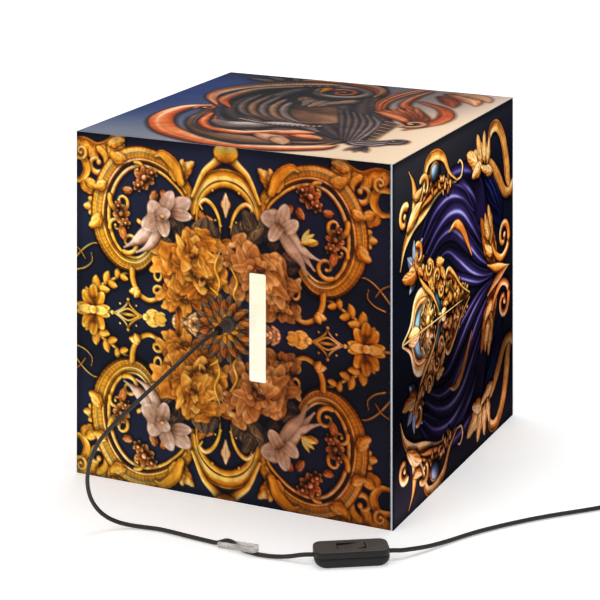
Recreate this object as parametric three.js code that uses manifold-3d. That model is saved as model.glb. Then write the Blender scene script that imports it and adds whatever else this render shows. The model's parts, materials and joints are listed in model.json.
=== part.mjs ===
// Cube table lamp: six 2 mm opal acrylic panels around a horizontal lampholder,
// a pull-off service panel that carries the lampholder and the cord, and a cord
// set with a clear cord adjuster, an in-line rocker switch and a two-pin plug.
// Millimetres, +Z up, origin at the centre of the cube's underside.
// -Y is the side the cord leaves from.
import * as THREE from "three";
import { mergeVertices } from "three/addons/utils/BufferGeometryUtils.js";
import Module from "manifold-3d";

const wasm = await Module();
wasm.setup();

// ---- driving dimensions -------------------------------------------------
const S = 300; // edge of the cube
const H = S / 2;
const T = 2; // panel thickness
const GAP = 0.3; // assembly gap between touching pieces
const AXIS_Z = 150; // height of the lampholder axis
const SLOT = { x0: 18.9, x1: 34.4, z0: 104.4, z1: 195.8, r: 1.5 };
const GLAND_HOLE_R = 5.2;
const BLOCK = 14; // corner block edge
const MAGNET = { r: 5, h: 3 };
const DISC = { r: 5, h: 1 };
const CORD_R = 1.7;
const CORD_SIDES = 8;
const SWITCH = { x: 142.15, y: -217.9, deg: 31.8, L: 60, W: 24.8, H: 12.5, seam: 6.9, r: 7 };
const ADJ = { x: 35.5, y: -236.5, deg: -8, L: 37, W: 8.5, t: 4.2, z0: 0.3, z1: 4.0 };
const COIL = { x: 336, y: -36, r: 26, hw: 6.6, z0: 0.2, z1: 11.8 };
const PLUG = { x: 397, y: -77.6, deg: -55 };

// ---- materials ----------------------------------------------------------
const mat = (color, roughness, metalness = 0, opacity = 1) =>
  new THREE.MeshStandardMaterial({
    color,
    roughness,
    metalness,
    opacity,
    transparent: opacity < 1,
  });
const OPAL_PRINT_FRONT = mat(0x8a5a26, 0.35);
const OPAL_PRINT_SIDE = mat(0x3a3640, 0.35);
const OPAL_PRINT_TOP = mat(0xc9a68c, 0.35);
const CLEAR = mat(0xe8ecec, 0.12, 0, 0.4);
const BLACK = mat(0x2b2927, 0.45);
const DARK_GREY = mat(0x3c3a36, 0.5);
const CORD_BLACK = mat(0x33312f, 0.55);
const WHITE = mat(0xf4f2ec, 0.4);
const OPAL = mat(0xfff4dc, 0.3);
const BRASS = mat(0xb8923e, 0.3, 1);
const NICKEL = mat(0xc4c2bc, 0.25, 1);
const STEEL = mat(0xb4b6b8, 0.35, 1);
const BROWN_WIRE = mat(0x6a3c1e, 0.5);
const BLUE_WIRE = mat(0x2a5a9c, 0.5);
const LED = mat(0xf2e27a, 0.5);

// ---- solid helpers ------------------------------------------------------
function clean(geometry) {
  let g = geometry.clone();
  g.deleteAttribute("normal");
  g.deleteAttribute("uv");
  g = mergeVertices(g, 1e-4);
  const p = g.getAttribute("position");
  const idx = [];
  const src = g.index.array;
  for (let i = 0; i < src.length; i += 3) {
    const [a, b, c] = [src[i], src[i + 1], src[i + 2]];
    if (a !== b && b !== c && a !== c) idx.push(a, b, c);
  }
  let vol = 0;
  const v = (i) => new THREE.Vector3().fromBufferAttribute(p, i);
  for (let i = 0; i < idx.length; i += 3)
    vol += v(idx[i]).dot(v(idx[i + 1]).cross(v(idx[i + 2])));
  if (vol < 0)
    for (let i = 0; i < idx.length; i += 3)
      [idx[i + 1], idx[i + 2]] = [idx[i + 2], idx[i + 1]];
  g.setIndex(idx);
  return g;
}
const solid = (geometry) => {
  const g = clean(geometry);
  return new wasm.Manifold(
    new wasm.Mesh({
      numProp: 3,
      vertProperties: new Float32Array(g.getAttribute("position").array),
      triVerts: new Uint32Array(g.index.array),
    }),
  );
};
const back = (manifold) => {
  const m = manifold.getMesh();
  const n = m.numProp;
  const pos = new Float32Array(m.numVert * 3);
  for (let i = 0; i < m.numVert; i++)
    pos.set(m.vertProperties.subarray(i * n, i * n + 3), i * 3);
  return new THREE.BufferGeometry()
    .setAttribute("position", new THREE.BufferAttribute(pos, 3))
    .setIndex(new THREE.BufferAttribute(new Uint32Array(m.triVerts), 1));
};
const cut = (base, ...tools) =>
  back(tools.reduce((s, t) => s.subtract(solid(t)), solid(base)));
const join = (base, ...more) =>
  back(more.reduce((s, t) => s.add(solid(t)), solid(base)));

const box = (x0, x1, y0, y1, z0, z1) =>
  new THREE.BoxGeometry(x1 - x0, y1 - y0, z1 - z0).translate(
    (x0 + x1) / 2,
    (y0 + y1) / 2,
    (z0 + z1) / 2,
  );
// Cylinder along Y from y0 to y1.
const cylY = (r, y0, y1, x = 0, z = 0, n = 20) =>
  new THREE.CylinderGeometry(r, r, y1 - y0, n).translate(x, (y0 + y1) / 2, z);
// Cylinder along Z from z0 to z1.
const cylZ = (r, z0, z1, x = 0, y = 0, n = 16) =>
  new THREE.CylinderGeometry(r, r, z1 - z0, n)
    .rotateX(Math.PI / 2)
    .translate(x, y, (z0 + z1) / 2);
// Body of revolution about Y; profile is [radius, y] pairs, closed on itself
// unless it starts and ends on the axis.
const latheY = (profile, n = 24) => {
  const pts = profile.map(([r, y]) => new THREE.Vector2(r, y));
  const a = pts[0];
  const b = pts[pts.length - 1];
  if (a.x > 0 || b.x > 0) pts.push(a.clone());
  return clean(new THREE.LatheGeometry(pts, n));
};
// The same about Z; profile is [radius, z] pairs.
const latheZ = (profile, n = 24) => latheY(profile, n).rotateX(Math.PI / 2);

const roundedRect = (L, W, r, steps = 5) => {
  const s = new THREE.Shape();
  const pts = [];
  [
    [L / 2 - r, W / 2 - r, 0],
    [-L / 2 + r, W / 2 - r, 90],
    [-L / 2 + r, -W / 2 + r, 180],
    [L / 2 - r, -W / 2 + r, 270],
  ].forEach(([cx, cy, a0]) => {
    for (let i = 0; i <= steps; i++) {
      const a = ((a0 + (90 * i) / steps) * Math.PI) / 180;
      pts.push(new THREE.Vector2(cx + r * Math.cos(a), cy + r * Math.sin(a)));
    }
  });
  s.setFromPoints(pts);
  return s;
};
// Prism on a rounded rectangle from z0 to z1.
const slab = (L, W, r, z0, z1, steps = 5) =>
  clean(
    new THREE.ExtrudeGeometry(roundedRect(L, W, r, steps), {
      depth: z1 - z0,
      bevelEnabled: false,
    }).translate(0, 0, z0),
  );

// A smooth route with a ring at each listed distance along it, so a stretch
// with a tight bend can have closer rings than the rest.
class Route extends THREE.Curve {
  constructor(points, distances) {
    super();
    this.curve = new THREE.CatmullRomCurve3(
      points.map((p) => new THREE.Vector3(...p)),
      false,
      "centripetal",
    );
    this.curve.arcLengthDivisions = 2000;
    this.total = this.curve.getLength();
    const d = typeof distances === "number" ? distances : null;
    this.rings = d
      ? Array.from({ length: d + 1 }, (_, i) => i / d)
      : distances(this.total).map((s) => s / this.total);
    this.steps = this.rings.length - 1;
  }
  at(u) {
    const k = Math.min(Math.max(u, 0), 1) * this.steps;
    const i = Math.min(Math.floor(k), this.steps - 1);
    return this.rings[i] + (this.rings[i + 1] - this.rings[i]) * (k - i);
  }
  getPoint(t, target = new THREE.Vector3()) {
    return this.curve.getPointAt(this.at(t), target);
  }
  getPointAt(u, target) {
    return this.getPoint(u, target);
  }
  getTangentAt(u, target) {
    return this.curve.getTangentAt(this.at(u), target);
  }
  getSpacedPoints(n) {
    return Array.from({ length: n + 1 }, (_, i) => this.getPoint(i / n));
  }
}
const tube = (points, r, distances, sides = CORD_SIDES) => {
  const route = new Route(points, distances);
  const section = new THREE.Shape(
    Array.from({ length: sides }, (_, i) => {
      const a = ((i + 0.5) * 2 * Math.PI) / sides;
      return new THREE.Vector2(r * Math.cos(a), r * Math.sin(a));
    }),
  );
  return clean(
    new THREE.ExtrudeGeometry(section, {
      steps: route.steps,
      extrudePath: route,
      bevelEnabled: false,
    }),
  );
};
// Ring distances: wide steps, and fine ones between two distances.
const rings = (wide, fine, from, to) => (total) => {
  const out = [0];
  const run = (a, b, step) => {
    const n = Math.max(1, Math.round((b - a) / step));
    for (let i = 1; i <= n; i++) out.push(a + ((b - a) * i) / n);
  };
  run(0, from, wide);
  run(from, to, fine);
  run(to, total, wide);
  return out;
};

const root = new THREE.Group();
const groups = {};
const group = (name, parent = root) => {
  const g = new THREE.Group();
  g.name = name;
  parent.add(g);
  groups[name] = g;
  return g;
};
const put = (parent, name, geometry, material) => {
  const g = clean(geometry);
  g.computeVertexNormals();
  const m = new THREE.Mesh(g, material);
  m.name = name;
  parent.add(m);
  return m;
};

// ---- the box shell ------------------------------------------------------
const shell = group("shell");
const IN = H - T; // inner face of a wall
put(shell, "right_panel", box(IN, H, -H, IN - GAP, 0, S), OPAL_PRINT_SIDE);
put(shell, "rear_panel", box(-IN + GAP, H, IN, H, 0, S), OPAL_PRINT_SIDE);
put(shell, "left_panel", box(-H, -IN, -IN + GAP, H, 0, S), OPAL_PRINT_SIDE);
put(
  shell,
  "top_panel",
  box(-IN + GAP, IN - GAP, -IN + GAP, IN - GAP, S - T, S),
  OPAL_PRINT_TOP,
);
put(
  shell,
  "bottom_panel",
  box(-IN + GAP, IN - GAP, -IN + GAP, IN - GAP, 0, T),
  WHITE,
);

const B1 = IN - GAP;
const B0 = B1 - BLOCK;
const zLow = [T + GAP, T + GAP + BLOCK];
const zHigh = [S - T - GAP - BLOCK, S - T - GAP];
for (const [side, x0, x1] of [
  ["left", -B1, -B0],
  ["right", B0, B1],
]) {
  for (const [level, [z0, z1]] of [
    ["low", zLow],
    ["high", zHigh],
  ]) {
    put(shell, `block_rear_${side}_${level}`, box(x0, x1, B0, B1, z0, z1), CLEAR);
    // cord side: the block stands back and holds a magnet flush in its face
    const face = -IN + GAP + DISC.h + GAP;
    const cx = (x0 + x1) / 2;
    const cz = (z0 + z1) / 2;
    put(
      shell,
      `block_front_${side}_${level}`,
      cut(
        box(x0, x1, face, face + BLOCK, z0, z1),
        cylY(MAGNET.r + GAP, face - 1, face + MAGNET.h + GAP, cx, cz, 20),
      ),
      CLEAR,
    );
    put(
      shell,
      `magnet_${side}_${level}`,
      cylY(MAGNET.r, face, face + MAGNET.h, cx, cz, 20),
      NICKEL,
    );
  }
}

// ---- the service panel and what is fixed to it --------------------------
const service = group("service_panel");
{
  const w = new THREE.Shape();
  w.moveTo(-H, 0);
  w.lineTo(IN - GAP, 0);
  w.lineTo(IN - GAP, S);
  w.lineTo(-H, S);
  w.closePath();
  const hole = new THREE.Path();
  hole.absarc(0, AXIS_Z, GLAND_HOLE_R, 0, 2 * Math.PI, true);
  w.holes.push(hole);
  const sl = new THREE.Path();
  const { x0, x1, z0, z1, r } = SLOT;
  sl.absarc(x1 - r, z1 - r, r, 0, Math.PI / 2);
  sl.absarc(x0 + r, z1 - r, r, Math.PI / 2, Math.PI);
  sl.absarc(x0 + r, z0 + r, r, Math.PI, 1.5 * Math.PI);
  sl.absarc(x1 - r, z0 + r, r, 1.5 * Math.PI, 2 * Math.PI);
  w.holes.push(sl);
  put(
    service,
    "cord_panel",
    new THREE.ExtrudeGeometry(w, { depth: T, bevelEnabled: false, curveSegments: 5 })
      .rotateX(Math.PI / 2)
      .translate(0, -IN, 0),
    OPAL_PRINT_FRONT,
  );
}
for (const [side, sx] of [
  ["left", -1],
  ["right", 1],
])
  for (const [level, z] of [
    ["low", (zLow[0] + zLow[1]) / 2],
    ["high", (zHigh[0] + zHigh[1]) / 2],
  ])
    put(
      service,
      `steel_disc_${side}_${level}`,
      cylY(DISC.r, -IN + GAP, -IN + GAP + DISC.h, (sx * (B0 + B1)) / 2, z, 20),
      STEEL,
    );

// cord grip, nipple and nuts, on the axis through the panel
const holder = group("holder", service);
holder.position.set(0, 0, AXIS_Z);
const OUT = -H; // outer face of the service panel
const PIN = -IN; // inner face of the service panel
put(
  holder,
  "cord_grip",
  latheY(
    [
      [2.3, OUT - GAP],
      [6.9, OUT - GAP],
      [6.9, OUT - 3.2],
      [6.2, OUT - 4.6],
      [4.9, OUT - 5.2],
      [4.5, OUT - 8],
      [4.1, OUT - 19.4],
      [2.3, OUT - 19.4],
    ],
    24,
  ),
  DARK_GREY,
);
put(
  holder,
  "cord_bushing",
  latheY(
    [
      [2.25, OUT - 19.7],
      [3.9, OUT - 19.7],
      [3.9, OUT - 21.2],
      [3.2, OUT - 22.2],
      [2.25, OUT - 22.2],
    ],
    20,
  ),
  BLACK,
);
put(
  holder,
  "threaded_nipple",
  latheY(
    [
      [2.4, OUT],
      [4.8, OUT],
      [4.8, -134.6],
      [2.4, -134.6],
    ],
    24,
  ),
  STEEL,
);
{
  const hex = new THREE.Shape(
    Array.from({ length: 6 }, (_, i) => {
      const a = (i * Math.PI) / 3;
      return new THREE.Vector2((7 / Math.cos(Math.PI / 6)) * Math.cos(a), (7 / Math.cos(Math.PI / 6)) * Math.sin(a));
    }),
  );
  const bore = new THREE.Path();
  bore.absarc(0, 0, 5.1, 0, 2 * Math.PI, true);
  hex.holes.push(bore);
  const nut = (y0, y1) =>
    new THREE.ExtrudeGeometry(hex, { depth: y1 - y0, bevelEnabled: false, curveSegments: 12 })
      .rotateX(Math.PI / 2)
      .translate(0, y1, 0);
  put(holder, "panel_nut", nut(-146.4, -143.4), STEEL);
  put(holder, "holder_nut", nut(-139.0, -136.2), STEEL);
}
put(
  holder,
  "panel_washer",
  latheY(
    [
      [5.1, PIN + GAP],
      [9, PIN + GAP],
      [9, -146.7],
      [5.1, -146.7],
    ],
    24,
  ),
  STEEL,
);
// dome-shaped cap of the lampholder, clamped between the two nuts
put(
  holder,
  "holder_cap",
  latheY(
    [
      [5.1, -143.1],
      [11, -143.1],
      [16, -141.2],
      [19, -137],
      [19.6, -128.4],
      [17.6, -128.4],
      [17.2, -136],
      [14.8, -139.3],
      [5.1, -139.3],
    ],
    28,
  ),
  WHITE,
);
put(
  holder,
  "holder_skirt",
  latheY(
    [
      [17.6, -128.1],
      [19.6, -128.1],
      [19.6, -99],
      [18.6, -96],
      [16.6, -96],
      [17.4, -99],
    ],
    28,
  ),
  WHITE,
);
put(
  holder,
  "holder_insulator",
  cut(
    cylY(17, -127.8, -121, 0, 0, 28),
    cylY(2, -128.2, -124.2, 9, 0, 12),
    cylY(2, -128.2, -124.2, -9, 0, 12),
  ),
  WHITE,
);
for (const [name, sx] of [
  ["terminal_screw_line", 1],
  ["terminal_screw_neutral", -1],
])
  put(
    holder,
    name,
    join(cylY(1.6, -129.2, -124.5, sx * 9, 0, 12), cylY(2.8, -130.6, -129.2, sx * 9, 0, 12)),
    BRASS,
  );
put(
  holder,
  "screw_shell",
  latheY(
    [
      [13.6, -120.7],
      [14.1, -120.7],
      [14.1, -97.4],
      [13.6, -97.4],
    ],
    28,
  ),
  BRASS,
);
put(holder, "centre_contact", box(-7, 7, -120.7, -118.6, -2.5, 2.5), BRASS);
// the two cores, from the nipple's end to the terminal screws
for (const [name, sx, m] of [
  ["line_core", 1, BROWN_WIRE],
  ["neutral_core", -1, BLUE_WIRE],
])
  put(
    holder,
    name,
    tube(
      [
        [sx * 1.1, -137.2, 0],
        [sx * 1.1, -134.0, 0],
        [sx * 2.2, -132.4, 0],
        [sx * 4.2, -131.2, 0],
        [sx * 5.7, -130.2, 0],
      ],
      0.7,
      10,
      6,
    ),
    m,
  );

// ---- bulb ---------------------------------------------------------------
const bulb = group("bulb", root);
bulb.position.set(0, 0, AXIS_Z);
{
  const thread = [[0, -116.9], [5.2, -116.9], [9.5, -113.6], [12.2, -112.4]];
  for (let i = 0; i < 4; i++) {
    thread.push([13.2, -110.6 + i * 3.6], [12.2, -108.8 + i * 3.6]);
  }
  thread.push([12.2, -93.4], [0, -93.4]);
  put(bulb, "bulb_cap", latheY(thread, 24), NICKEL);
}
put(bulb, "bulb_contact", latheY([[0, -118.2], [3.6, -118.0], [4.6, -117.2], [0, -117.2]], 16), BRASS);
put(
  bulb,
  "bulb_collar",
  latheY(
    [
      [0, -93.1],
      [13.2, -93.1],
      [15.5, -88],
      [22, -76],
      [27.6, -60],
      [28.2, -57.4],
      [26.4, -57.4],
      [26.4, -60],
      [0, -60],
    ],
    28,
  ),
  WHITE,
);
put(bulb, "led_board", cylY(21, -59.7, -58.2, 0, 0, 24), LED);
{
  const R = 30;
  const cy = -30;
  const profile = [];
  const a0 = -61;
  for (let i = 0; i <= 8; i++) {
    const a = ((a0 + ((90 - a0) * i) / 8) * Math.PI) / 180;
    profile.push([i === 8 ? 0 : R * Math.cos(a), cy + R * Math.sin(a)]);
  }
  profile[0] = [26.6, -57.1];
  for (let i = 8; i >= 0; i--) {
    const a = ((a0 + ((90 - a0) * i) / 8) * Math.PI) / 180;
    const r = R - 1.4;
    profile.push([i === 8 ? 0 : r * Math.cos(a), cy + r * Math.sin(a)]);
  }
  profile[profile.length - 1] = [25.2, -57.1];
  // an open cup: outside from the neck to the crown, then back down the inside
  const pts = profile.map(([r, y]) => new THREE.Vector2(r, y));
  pts.push(pts[0].clone());
  put(bulb, "bulb_globe", new THREE.LatheGeometry(pts, 20), OPAL);
}

// ---- cord set -----------------------------------------------------------
const cordset = group("cord_set", service);
const sw = new THREE.Group();
sw.position.set(SWITCH.x, SWITCH.y, 0);
sw.rotation.z = (SWITCH.deg * Math.PI) / 180;
cordset.add(sw);
const swPoint = (x, y, z) => {
  const a = (SWITCH.deg * Math.PI) / 180;
  return [
    SWITCH.x + x * Math.cos(a) - y * Math.sin(a),
    SWITCH.y + x * Math.sin(a) + y * Math.cos(a),
    z,
  ];
};
const adjDir = (ADJ.deg * Math.PI) / 180;
const adjPoint = (s, z, off = 0) => [
  ADJ.x + s * Math.cos(adjDir) - off * Math.sin(adjDir),
  ADJ.y + s * Math.sin(adjDir) + off * Math.cos(adjDir),
  z,
];

// lamp lead: out of the gland, hanging in a free loop to the surface, through
// the adjuster and on to the switch
export const LAMP_LEAD = [
  [0, -137.5, 150],
  [0, -158, 150],
  [0, -172, 150],
  [0, -180, 149.9],
  [-0.4, -192.3, 149.2],
  [-1.4, -205, 147.5],
  [-2.9, -216.3, 144.6],
  [-5.5, -228.3, 140.3],
  [-9.3, -238.3, 135.3],
  [-13.9, -246.9, 129.5],
  [-19.1, -254.1, 123.5],
  [-25, -260.1, 117],
  [-31.5, -264.8, 110],
  [-38.7, -268.5, 102.6],
  [-44.9, -270.5, 95.8],
  [-50.8, -271.6, 88.9],
  [-56.3, -271.8, 81.6],
  [-61.3, -271.1, 73.3],
  [-65.4, -269.7, 65],
  [-68.6, -267.7, 56.5],
  [-71.3, -264.7, 46.1],
  [-72.4, -261.2, 36.5],
  [-71.9, -256.9, 26.9],
  [-68.8, -251.2, 17.2],
  [-63.8, -245.9, 10.4],
  [-56.6, -240.4, 5.5],
  [-48.4, -236.2, 3.0],
  [-38, -233, 1.95],
  [-24, -231.2, 1.95],
  [-11, -231.8, 1.95],
  [2, -233.2, 1.95],
  [14, -234.3, 1.95],
  [24, -235.1, 1.95],
  adjPoint(-4, 1.95),
  adjPoint(0, 2.4),
  adjPoint(3.5, 4.4),
  adjPoint(7, 6.2),
  adjPoint(10, 6.6),
  adjPoint(13.5, 5.6),
  adjPoint(17.5, 3.3),
  adjPoint(21.5, 2.05),
  adjPoint(28, 1.95),
  adjPoint(35, 1.95),
  [78.5, -241.1, 1.95],
  [85.6, -240.1, 2.05],
  [92.2, -239.0, 2.6],
  [98.8, -238.4, 3.8],
  [105, -237.9, 5.4],
  swPoint(-34.5, -0.5, 6.7),
  swPoint(-30, 0, 6.9),
  swPoint(-25, 0, 6.9),
];
// mains lead: out of the switch, along the surface, to the coil
export const MAINS_LEAD = [
  swPoint(25, 0, 6.9),
  swPoint(30, 0, 6.9),
  swPoint(34, 0.3, 6.8),
  [175.6, -196.3, 6.3],
  [180.2, -190.0, 5.5],
  [185.2, -182.2, 4.5],
  [190.2, -173.2, 3.4],
  [195.3, -162.9, 2.55],
  [201, -151.6, 2.05],
  [208, -138.2, 1.95],
  [215.5, -125.5, 1.95],
  [223.3, -113.9, 1.95],
  [231.4, -102.8, 1.95],
  [239.8, -92, 1.95],
  [248.2, -81.7, 1.95],
  [257, -71.8, 1.95],
  [266, -62.3, 1.95],
  [275.4, -53.4, 1.95],
  [284.9, -44.9, 1.95],
  [294, -36.9, 1.95],
];
// tangent into the round coil
MAINS_LEAD.push([301.4, -30.7, 1.95]);

// distances along the lamp lead between which it weaves through the adjuster
const lampRoute = new Route(LAMP_LEAD, 10);
const distanceNear = (p) => {
  const q = new THREE.Vector3(...p);
  let best = [Infinity, 0];
  for (let i = 0; i <= 3000; i++) {
    const d = lampRoute.curve.getPointAt(i / 3000).distanceTo(q);
    if (d < best[0]) best = [d, (i / 3000) * lampRoute.total];
  }
  return best[1];
};
const ADJ_FROM = distanceNear(adjPoint(-4, 1.95));
const ADJ_TO = distanceNear(adjPoint(ADJ.L + 4, 1.95));
const leadRings = rings(9.5, 2.6, ADJ_FROM, ADJ_TO);
put(cordset, "lamp_lead", tube(LAMP_LEAD, CORD_R, leadRings), CORD_BLACK);
put(cordset, "mains_lead", tube(MAINS_LEAD, CORD_R, 27), CORD_BLACK);

// clear cord adjuster: a flat bar that the cord weaves through, with a slot
{
  const s = new THREE.Shape();
  const { L, W } = ADJ;
  s.moveTo(1, -W / 2);
  s.lineTo(L - W / 2, -W / 2);
  for (let i = 1; i < 10; i++) {
    const a = ((-90 + i * 18) * Math.PI) / 180;
    s.lineTo(L - W / 2 + (W / 2) * Math.cos(a), (W / 2) * Math.sin(a));
  }
  s.lineTo(L - W / 2, W / 2);
  s.lineTo(1, W / 2);
  s.lineTo(0, W / 2 - 1);
  s.lineTo(0, -W / 2 + 1);
  s.closePath();
  const slot = new THREE.Path();
  const k = 1.7;
  slot.absarc(L - 5.2, 0, k, -Math.PI / 2, Math.PI / 2);
  slot.absarc(L - 10.5, 0, k, Math.PI / 2, 1.5 * Math.PI);
  s.holes.push(slot);
  const bar = new THREE.ExtrudeGeometry(s, { depth: ADJ.t, bevelEnabled: false, curveSegments: 5 });
  bar.rotateY(-Math.atan2(ADJ.z1 - ADJ.z0, ADJ.L));
  bar.rotateZ(adjDir);
  bar.translate(ADJ.x, ADJ.y, ADJ.z0 + 0.2);
  const channel = tube(
    LAMP_LEAD,
    CORD_R + 0.4,
    (total) => leadRings(total).filter((d) => d > ADJ_FROM - 1 && d < ADJ_TO + 1),
    12,
  );
  const cutBar = solid(bar).subtract(solid(channel));
  const body = cutBar.decompose().sort((a, b) => b.volume() - a.volume())[0];
  put(cordset, "cord_adjuster", back(body), CLEAR);
}

// in-line rocker switch
{
  const { L, W, H: SH, seam, r } = SWITCH;
  const notch = (x0, x1) =>
    new THREE.CylinderGeometry(CORD_R + 0.5, CORD_R + 0.5, x1 - x0, 12)
      .rotateZ(Math.PI / 2)
      .translate((x0 + x1) / 2, 0, seam);
  put(
    sw,
    "switch_base",
    cut(
      slab(L, W, r, 0, seam),
      slab(L - 4, W - 4, r - 1.6, 1.6, seam + 1, 4),
      notch(-L / 2 - 1, -L / 2 + 4),
      notch(L / 2 - 4, L / 2 + 1),
    ),
    BLACK,
  );
  put(
    sw,
    "switch_cover",
    cut(
      slab(L, W, r, seam + GAP, SH),
      slab(L - 4, W - 4, r - 1.6, seam - 1, SH - 1.8, 4),
      notch(-L / 2 - 1, -L / 2 + 4),
      notch(L / 2 - 4, L / 2 + 1),
      slab(22.8, 11.6, 1.2, SH - 4, SH + 2, 2),
    ),
    BLACK,
  );
  // rocker: side profile in X-Z, pressed down at its -X end at rest
  const tilt = (7 * Math.PI) / 180;
  const prof = new THREE.Shape();
  prof.moveTo(-10.8, -0.4);
  prof.lineTo(-3.2, -1.9);
  prof.lineTo(0, -2.8);
  prof.lineTo(3.2, -1.9);
  prof.lineTo(10.8, -0.4);
  prof.lineTo(10.8, 2.2);
  prof.lineTo(4.5, 1.75);
  prof.lineTo(0, 1.5);
  prof.lineTo(-4.5, 1.75);
  prof.lineTo(-10.8, 2.2);
  prof.closePath();
  const rocker = new THREE.ExtrudeGeometry(prof, { depth: 10.8, bevelEnabled: false })
    .rotateX(Math.PI / 2)
    .translate(0, 5.4, 0)
    .rotateY(-tilt)
    .translate(0, 0, 10.1);
  const rk = group("rocker", sw);
  put(rk, "switch_rocker", rocker, BLACK);
  // fixed contacts on the base floor and the screw that closes the housing
  put(sw, "contact_lamp_side", box(-13, -5, -4, 4, 1.9, 4.6), BRASS);
  put(sw, "contact_mains_side", box(5, 13, -4, 4, 1.9, 4.6), BRASS);
  put(
    sw,
    "neutral_link",
    tube([[-21, 8, 3.2], [-8, 9, 3.2], [8, 9, 3.2], [21, 8, 3.2]], 0.9, 8, 6),
    BLUE_WIRE,
  );
}

// round coil of the stored length, with a tie
put(
  cordset,
  "cord_coil",
  latheZ(
    [
      [COIL.r - COIL.hw + 2.4, COIL.z0],
      [COIL.r + COIL.hw - 2.4, COIL.z0],
      [COIL.r + COIL.hw, COIL.z0 + 2.6],
      [COIL.r + COIL.hw, COIL.z1 - 2.6],
      [COIL.r + COIL.hw - 2.4, COIL.z1],
      [COIL.r - COIL.hw + 2.4, COIL.z1],
      [COIL.r - COIL.hw, COIL.z1 - 2.6],
      [COIL.r - COIL.hw, COIL.z0 + 2.6],
    ],
    32,
  ).translate(COIL.x, COIL.y, 0),
  CORD_BLACK,
);
export { COIL, PLUG };

// two-pin plug, lying flat with its tail towards the coil
{
  const pl = new THREE.Group();
  pl.position.set(PLUG.x, PLUG.y, 0);
  pl.rotation.z = (PLUG.deg * Math.PI) / 180;
  cordset.add(pl);
  // profile in plan: x along the plug, tail at -x, pins at +x
  const s = new THREE.Shape();
  const half = [
    [-19, 3.2],
    [-10, 5.2],
    [-5, 12.0],
    [0, 16.4],
    [6, 17.6],
    [15, 17.6],
    [17, 16.2],
  ];
  s.moveTo(-19, -3.2);
  half.slice(1).forEach(([x, y]) => s.lineTo(x, -y));
  [...half].reverse().forEach(([x, y]) => s.lineTo(x, y));
  s.closePath();
  put(
    pl,
    "plug_body",
    new THREE.ExtrudeGeometry(s, { depth: 13.4, bevelEnabled: false }).translate(0, 0, 0.1),
    BLACK,
  );
  for (const [name, y] of [
    ["plug_pin_line", 9.3],
    ["plug_pin_neutral", -9.3],
  ])
    put(
      pl,
      name,
      latheY(
        [
          [0, 17.3],
          [2, 17.3],
          [2, 35],
          [1.4, 36.2],
          [0, 36.4],
        ],
        16,
      )
        .rotateZ(-Math.PI / 2)
        .translate(0, y, 6.8),
      NICKEL,
    );
  put(
    pl,
    "plug_strain_relief",
    latheY(
      [
        [2.25, -19.3],
        [4.2, -19.3],
        [2.9, -38],
        [2.25, -38],
      ],
      14,
    )
      .rotateZ(-Math.PI / 2)
      .translate(0, 0, 6.8),
    BLACK,
  );
  // last stretch of the cord, from the coil's outside to the plug
  const a = (PLUG.deg * Math.PI) / 180;
  const w = (x, y, z) => [PLUG.x + x * Math.cos(a) - y * Math.sin(a), PLUG.y + x * Math.sin(a) + y * Math.cos(a), z];
  put(
    cordset,
    "plug_tail",
    tube(
      [
        [371.3, -40.9, 6.4],
        w(-41, 0, 6.7),
        w(-36, 0, 6.8),
        w(-20, 0, 6.8),
      ],
      CORD_R,
      8,
    ),
    CORD_BLACK,
  );
}
// hook-and-loop tie round the coil's section, on its far side
{
  const inner = new THREE.Path();
  const w = COIL.hw + 0.4;
  const z0 = COIL.z0 - 0.1;
  const z1 = COIL.z1 + 0.4;
  const outer = new THREE.Shape();
  const o = w + 0.9;
  outer.moveTo(-o, 0.0);
  outer.lineTo(o, 0.0);
  outer.lineTo(o, z1 + 0.9);
  outer.lineTo(-o, z1 + 0.9);
  outer.closePath();
  inner.moveTo(-w, z0);
  inner.lineTo(-w, z1);
  inner.lineTo(w, z1);
  inner.lineTo(w, z0);
  inner.closePath();
  outer.holes.push(inner);
  const band = new THREE.ExtrudeGeometry(outer, { depth: 6, bevelEnabled: false })
    .translate(0, 0, -3)
    .rotateX(Math.PI / 2)
    .translate(COIL.r, 0, 0)
    .rotateZ((-100 * Math.PI) / 180)
    .translate(COIL.x, COIL.y, 0);
  put(cordset, "coil_tie", band, mat(0x262626, 0.9));
}

export default root;
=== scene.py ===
# Cube table lamp: five printed opal acrylic faces, a pull-off service panel with the lampholder and the cord,
# a clear cord adjuster, an in-line rocker switch and a two-pin plug. Metres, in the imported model's frame.
import json
import math
import bpy
import bmesh
import numpy as np
from mathutils import Matrix, Vector

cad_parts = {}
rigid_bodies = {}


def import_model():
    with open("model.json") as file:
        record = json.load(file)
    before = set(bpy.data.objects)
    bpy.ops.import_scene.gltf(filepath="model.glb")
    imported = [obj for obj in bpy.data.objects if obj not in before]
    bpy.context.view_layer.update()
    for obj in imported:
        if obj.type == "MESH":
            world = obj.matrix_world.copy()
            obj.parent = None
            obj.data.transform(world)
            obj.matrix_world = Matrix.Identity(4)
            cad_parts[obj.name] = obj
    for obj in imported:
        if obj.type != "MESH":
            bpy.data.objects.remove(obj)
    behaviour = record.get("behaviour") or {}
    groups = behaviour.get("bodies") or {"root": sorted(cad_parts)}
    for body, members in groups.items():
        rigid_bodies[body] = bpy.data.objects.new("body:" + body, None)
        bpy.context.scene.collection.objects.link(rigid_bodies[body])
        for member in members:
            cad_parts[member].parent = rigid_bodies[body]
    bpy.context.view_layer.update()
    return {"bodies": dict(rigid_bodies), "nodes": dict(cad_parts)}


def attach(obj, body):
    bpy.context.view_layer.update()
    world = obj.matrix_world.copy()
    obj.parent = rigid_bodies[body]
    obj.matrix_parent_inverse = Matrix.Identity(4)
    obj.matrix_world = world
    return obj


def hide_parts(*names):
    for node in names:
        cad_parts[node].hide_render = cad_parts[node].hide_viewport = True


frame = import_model()
bodies, cad = frame["bodies"], frame["nodes"]
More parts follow.
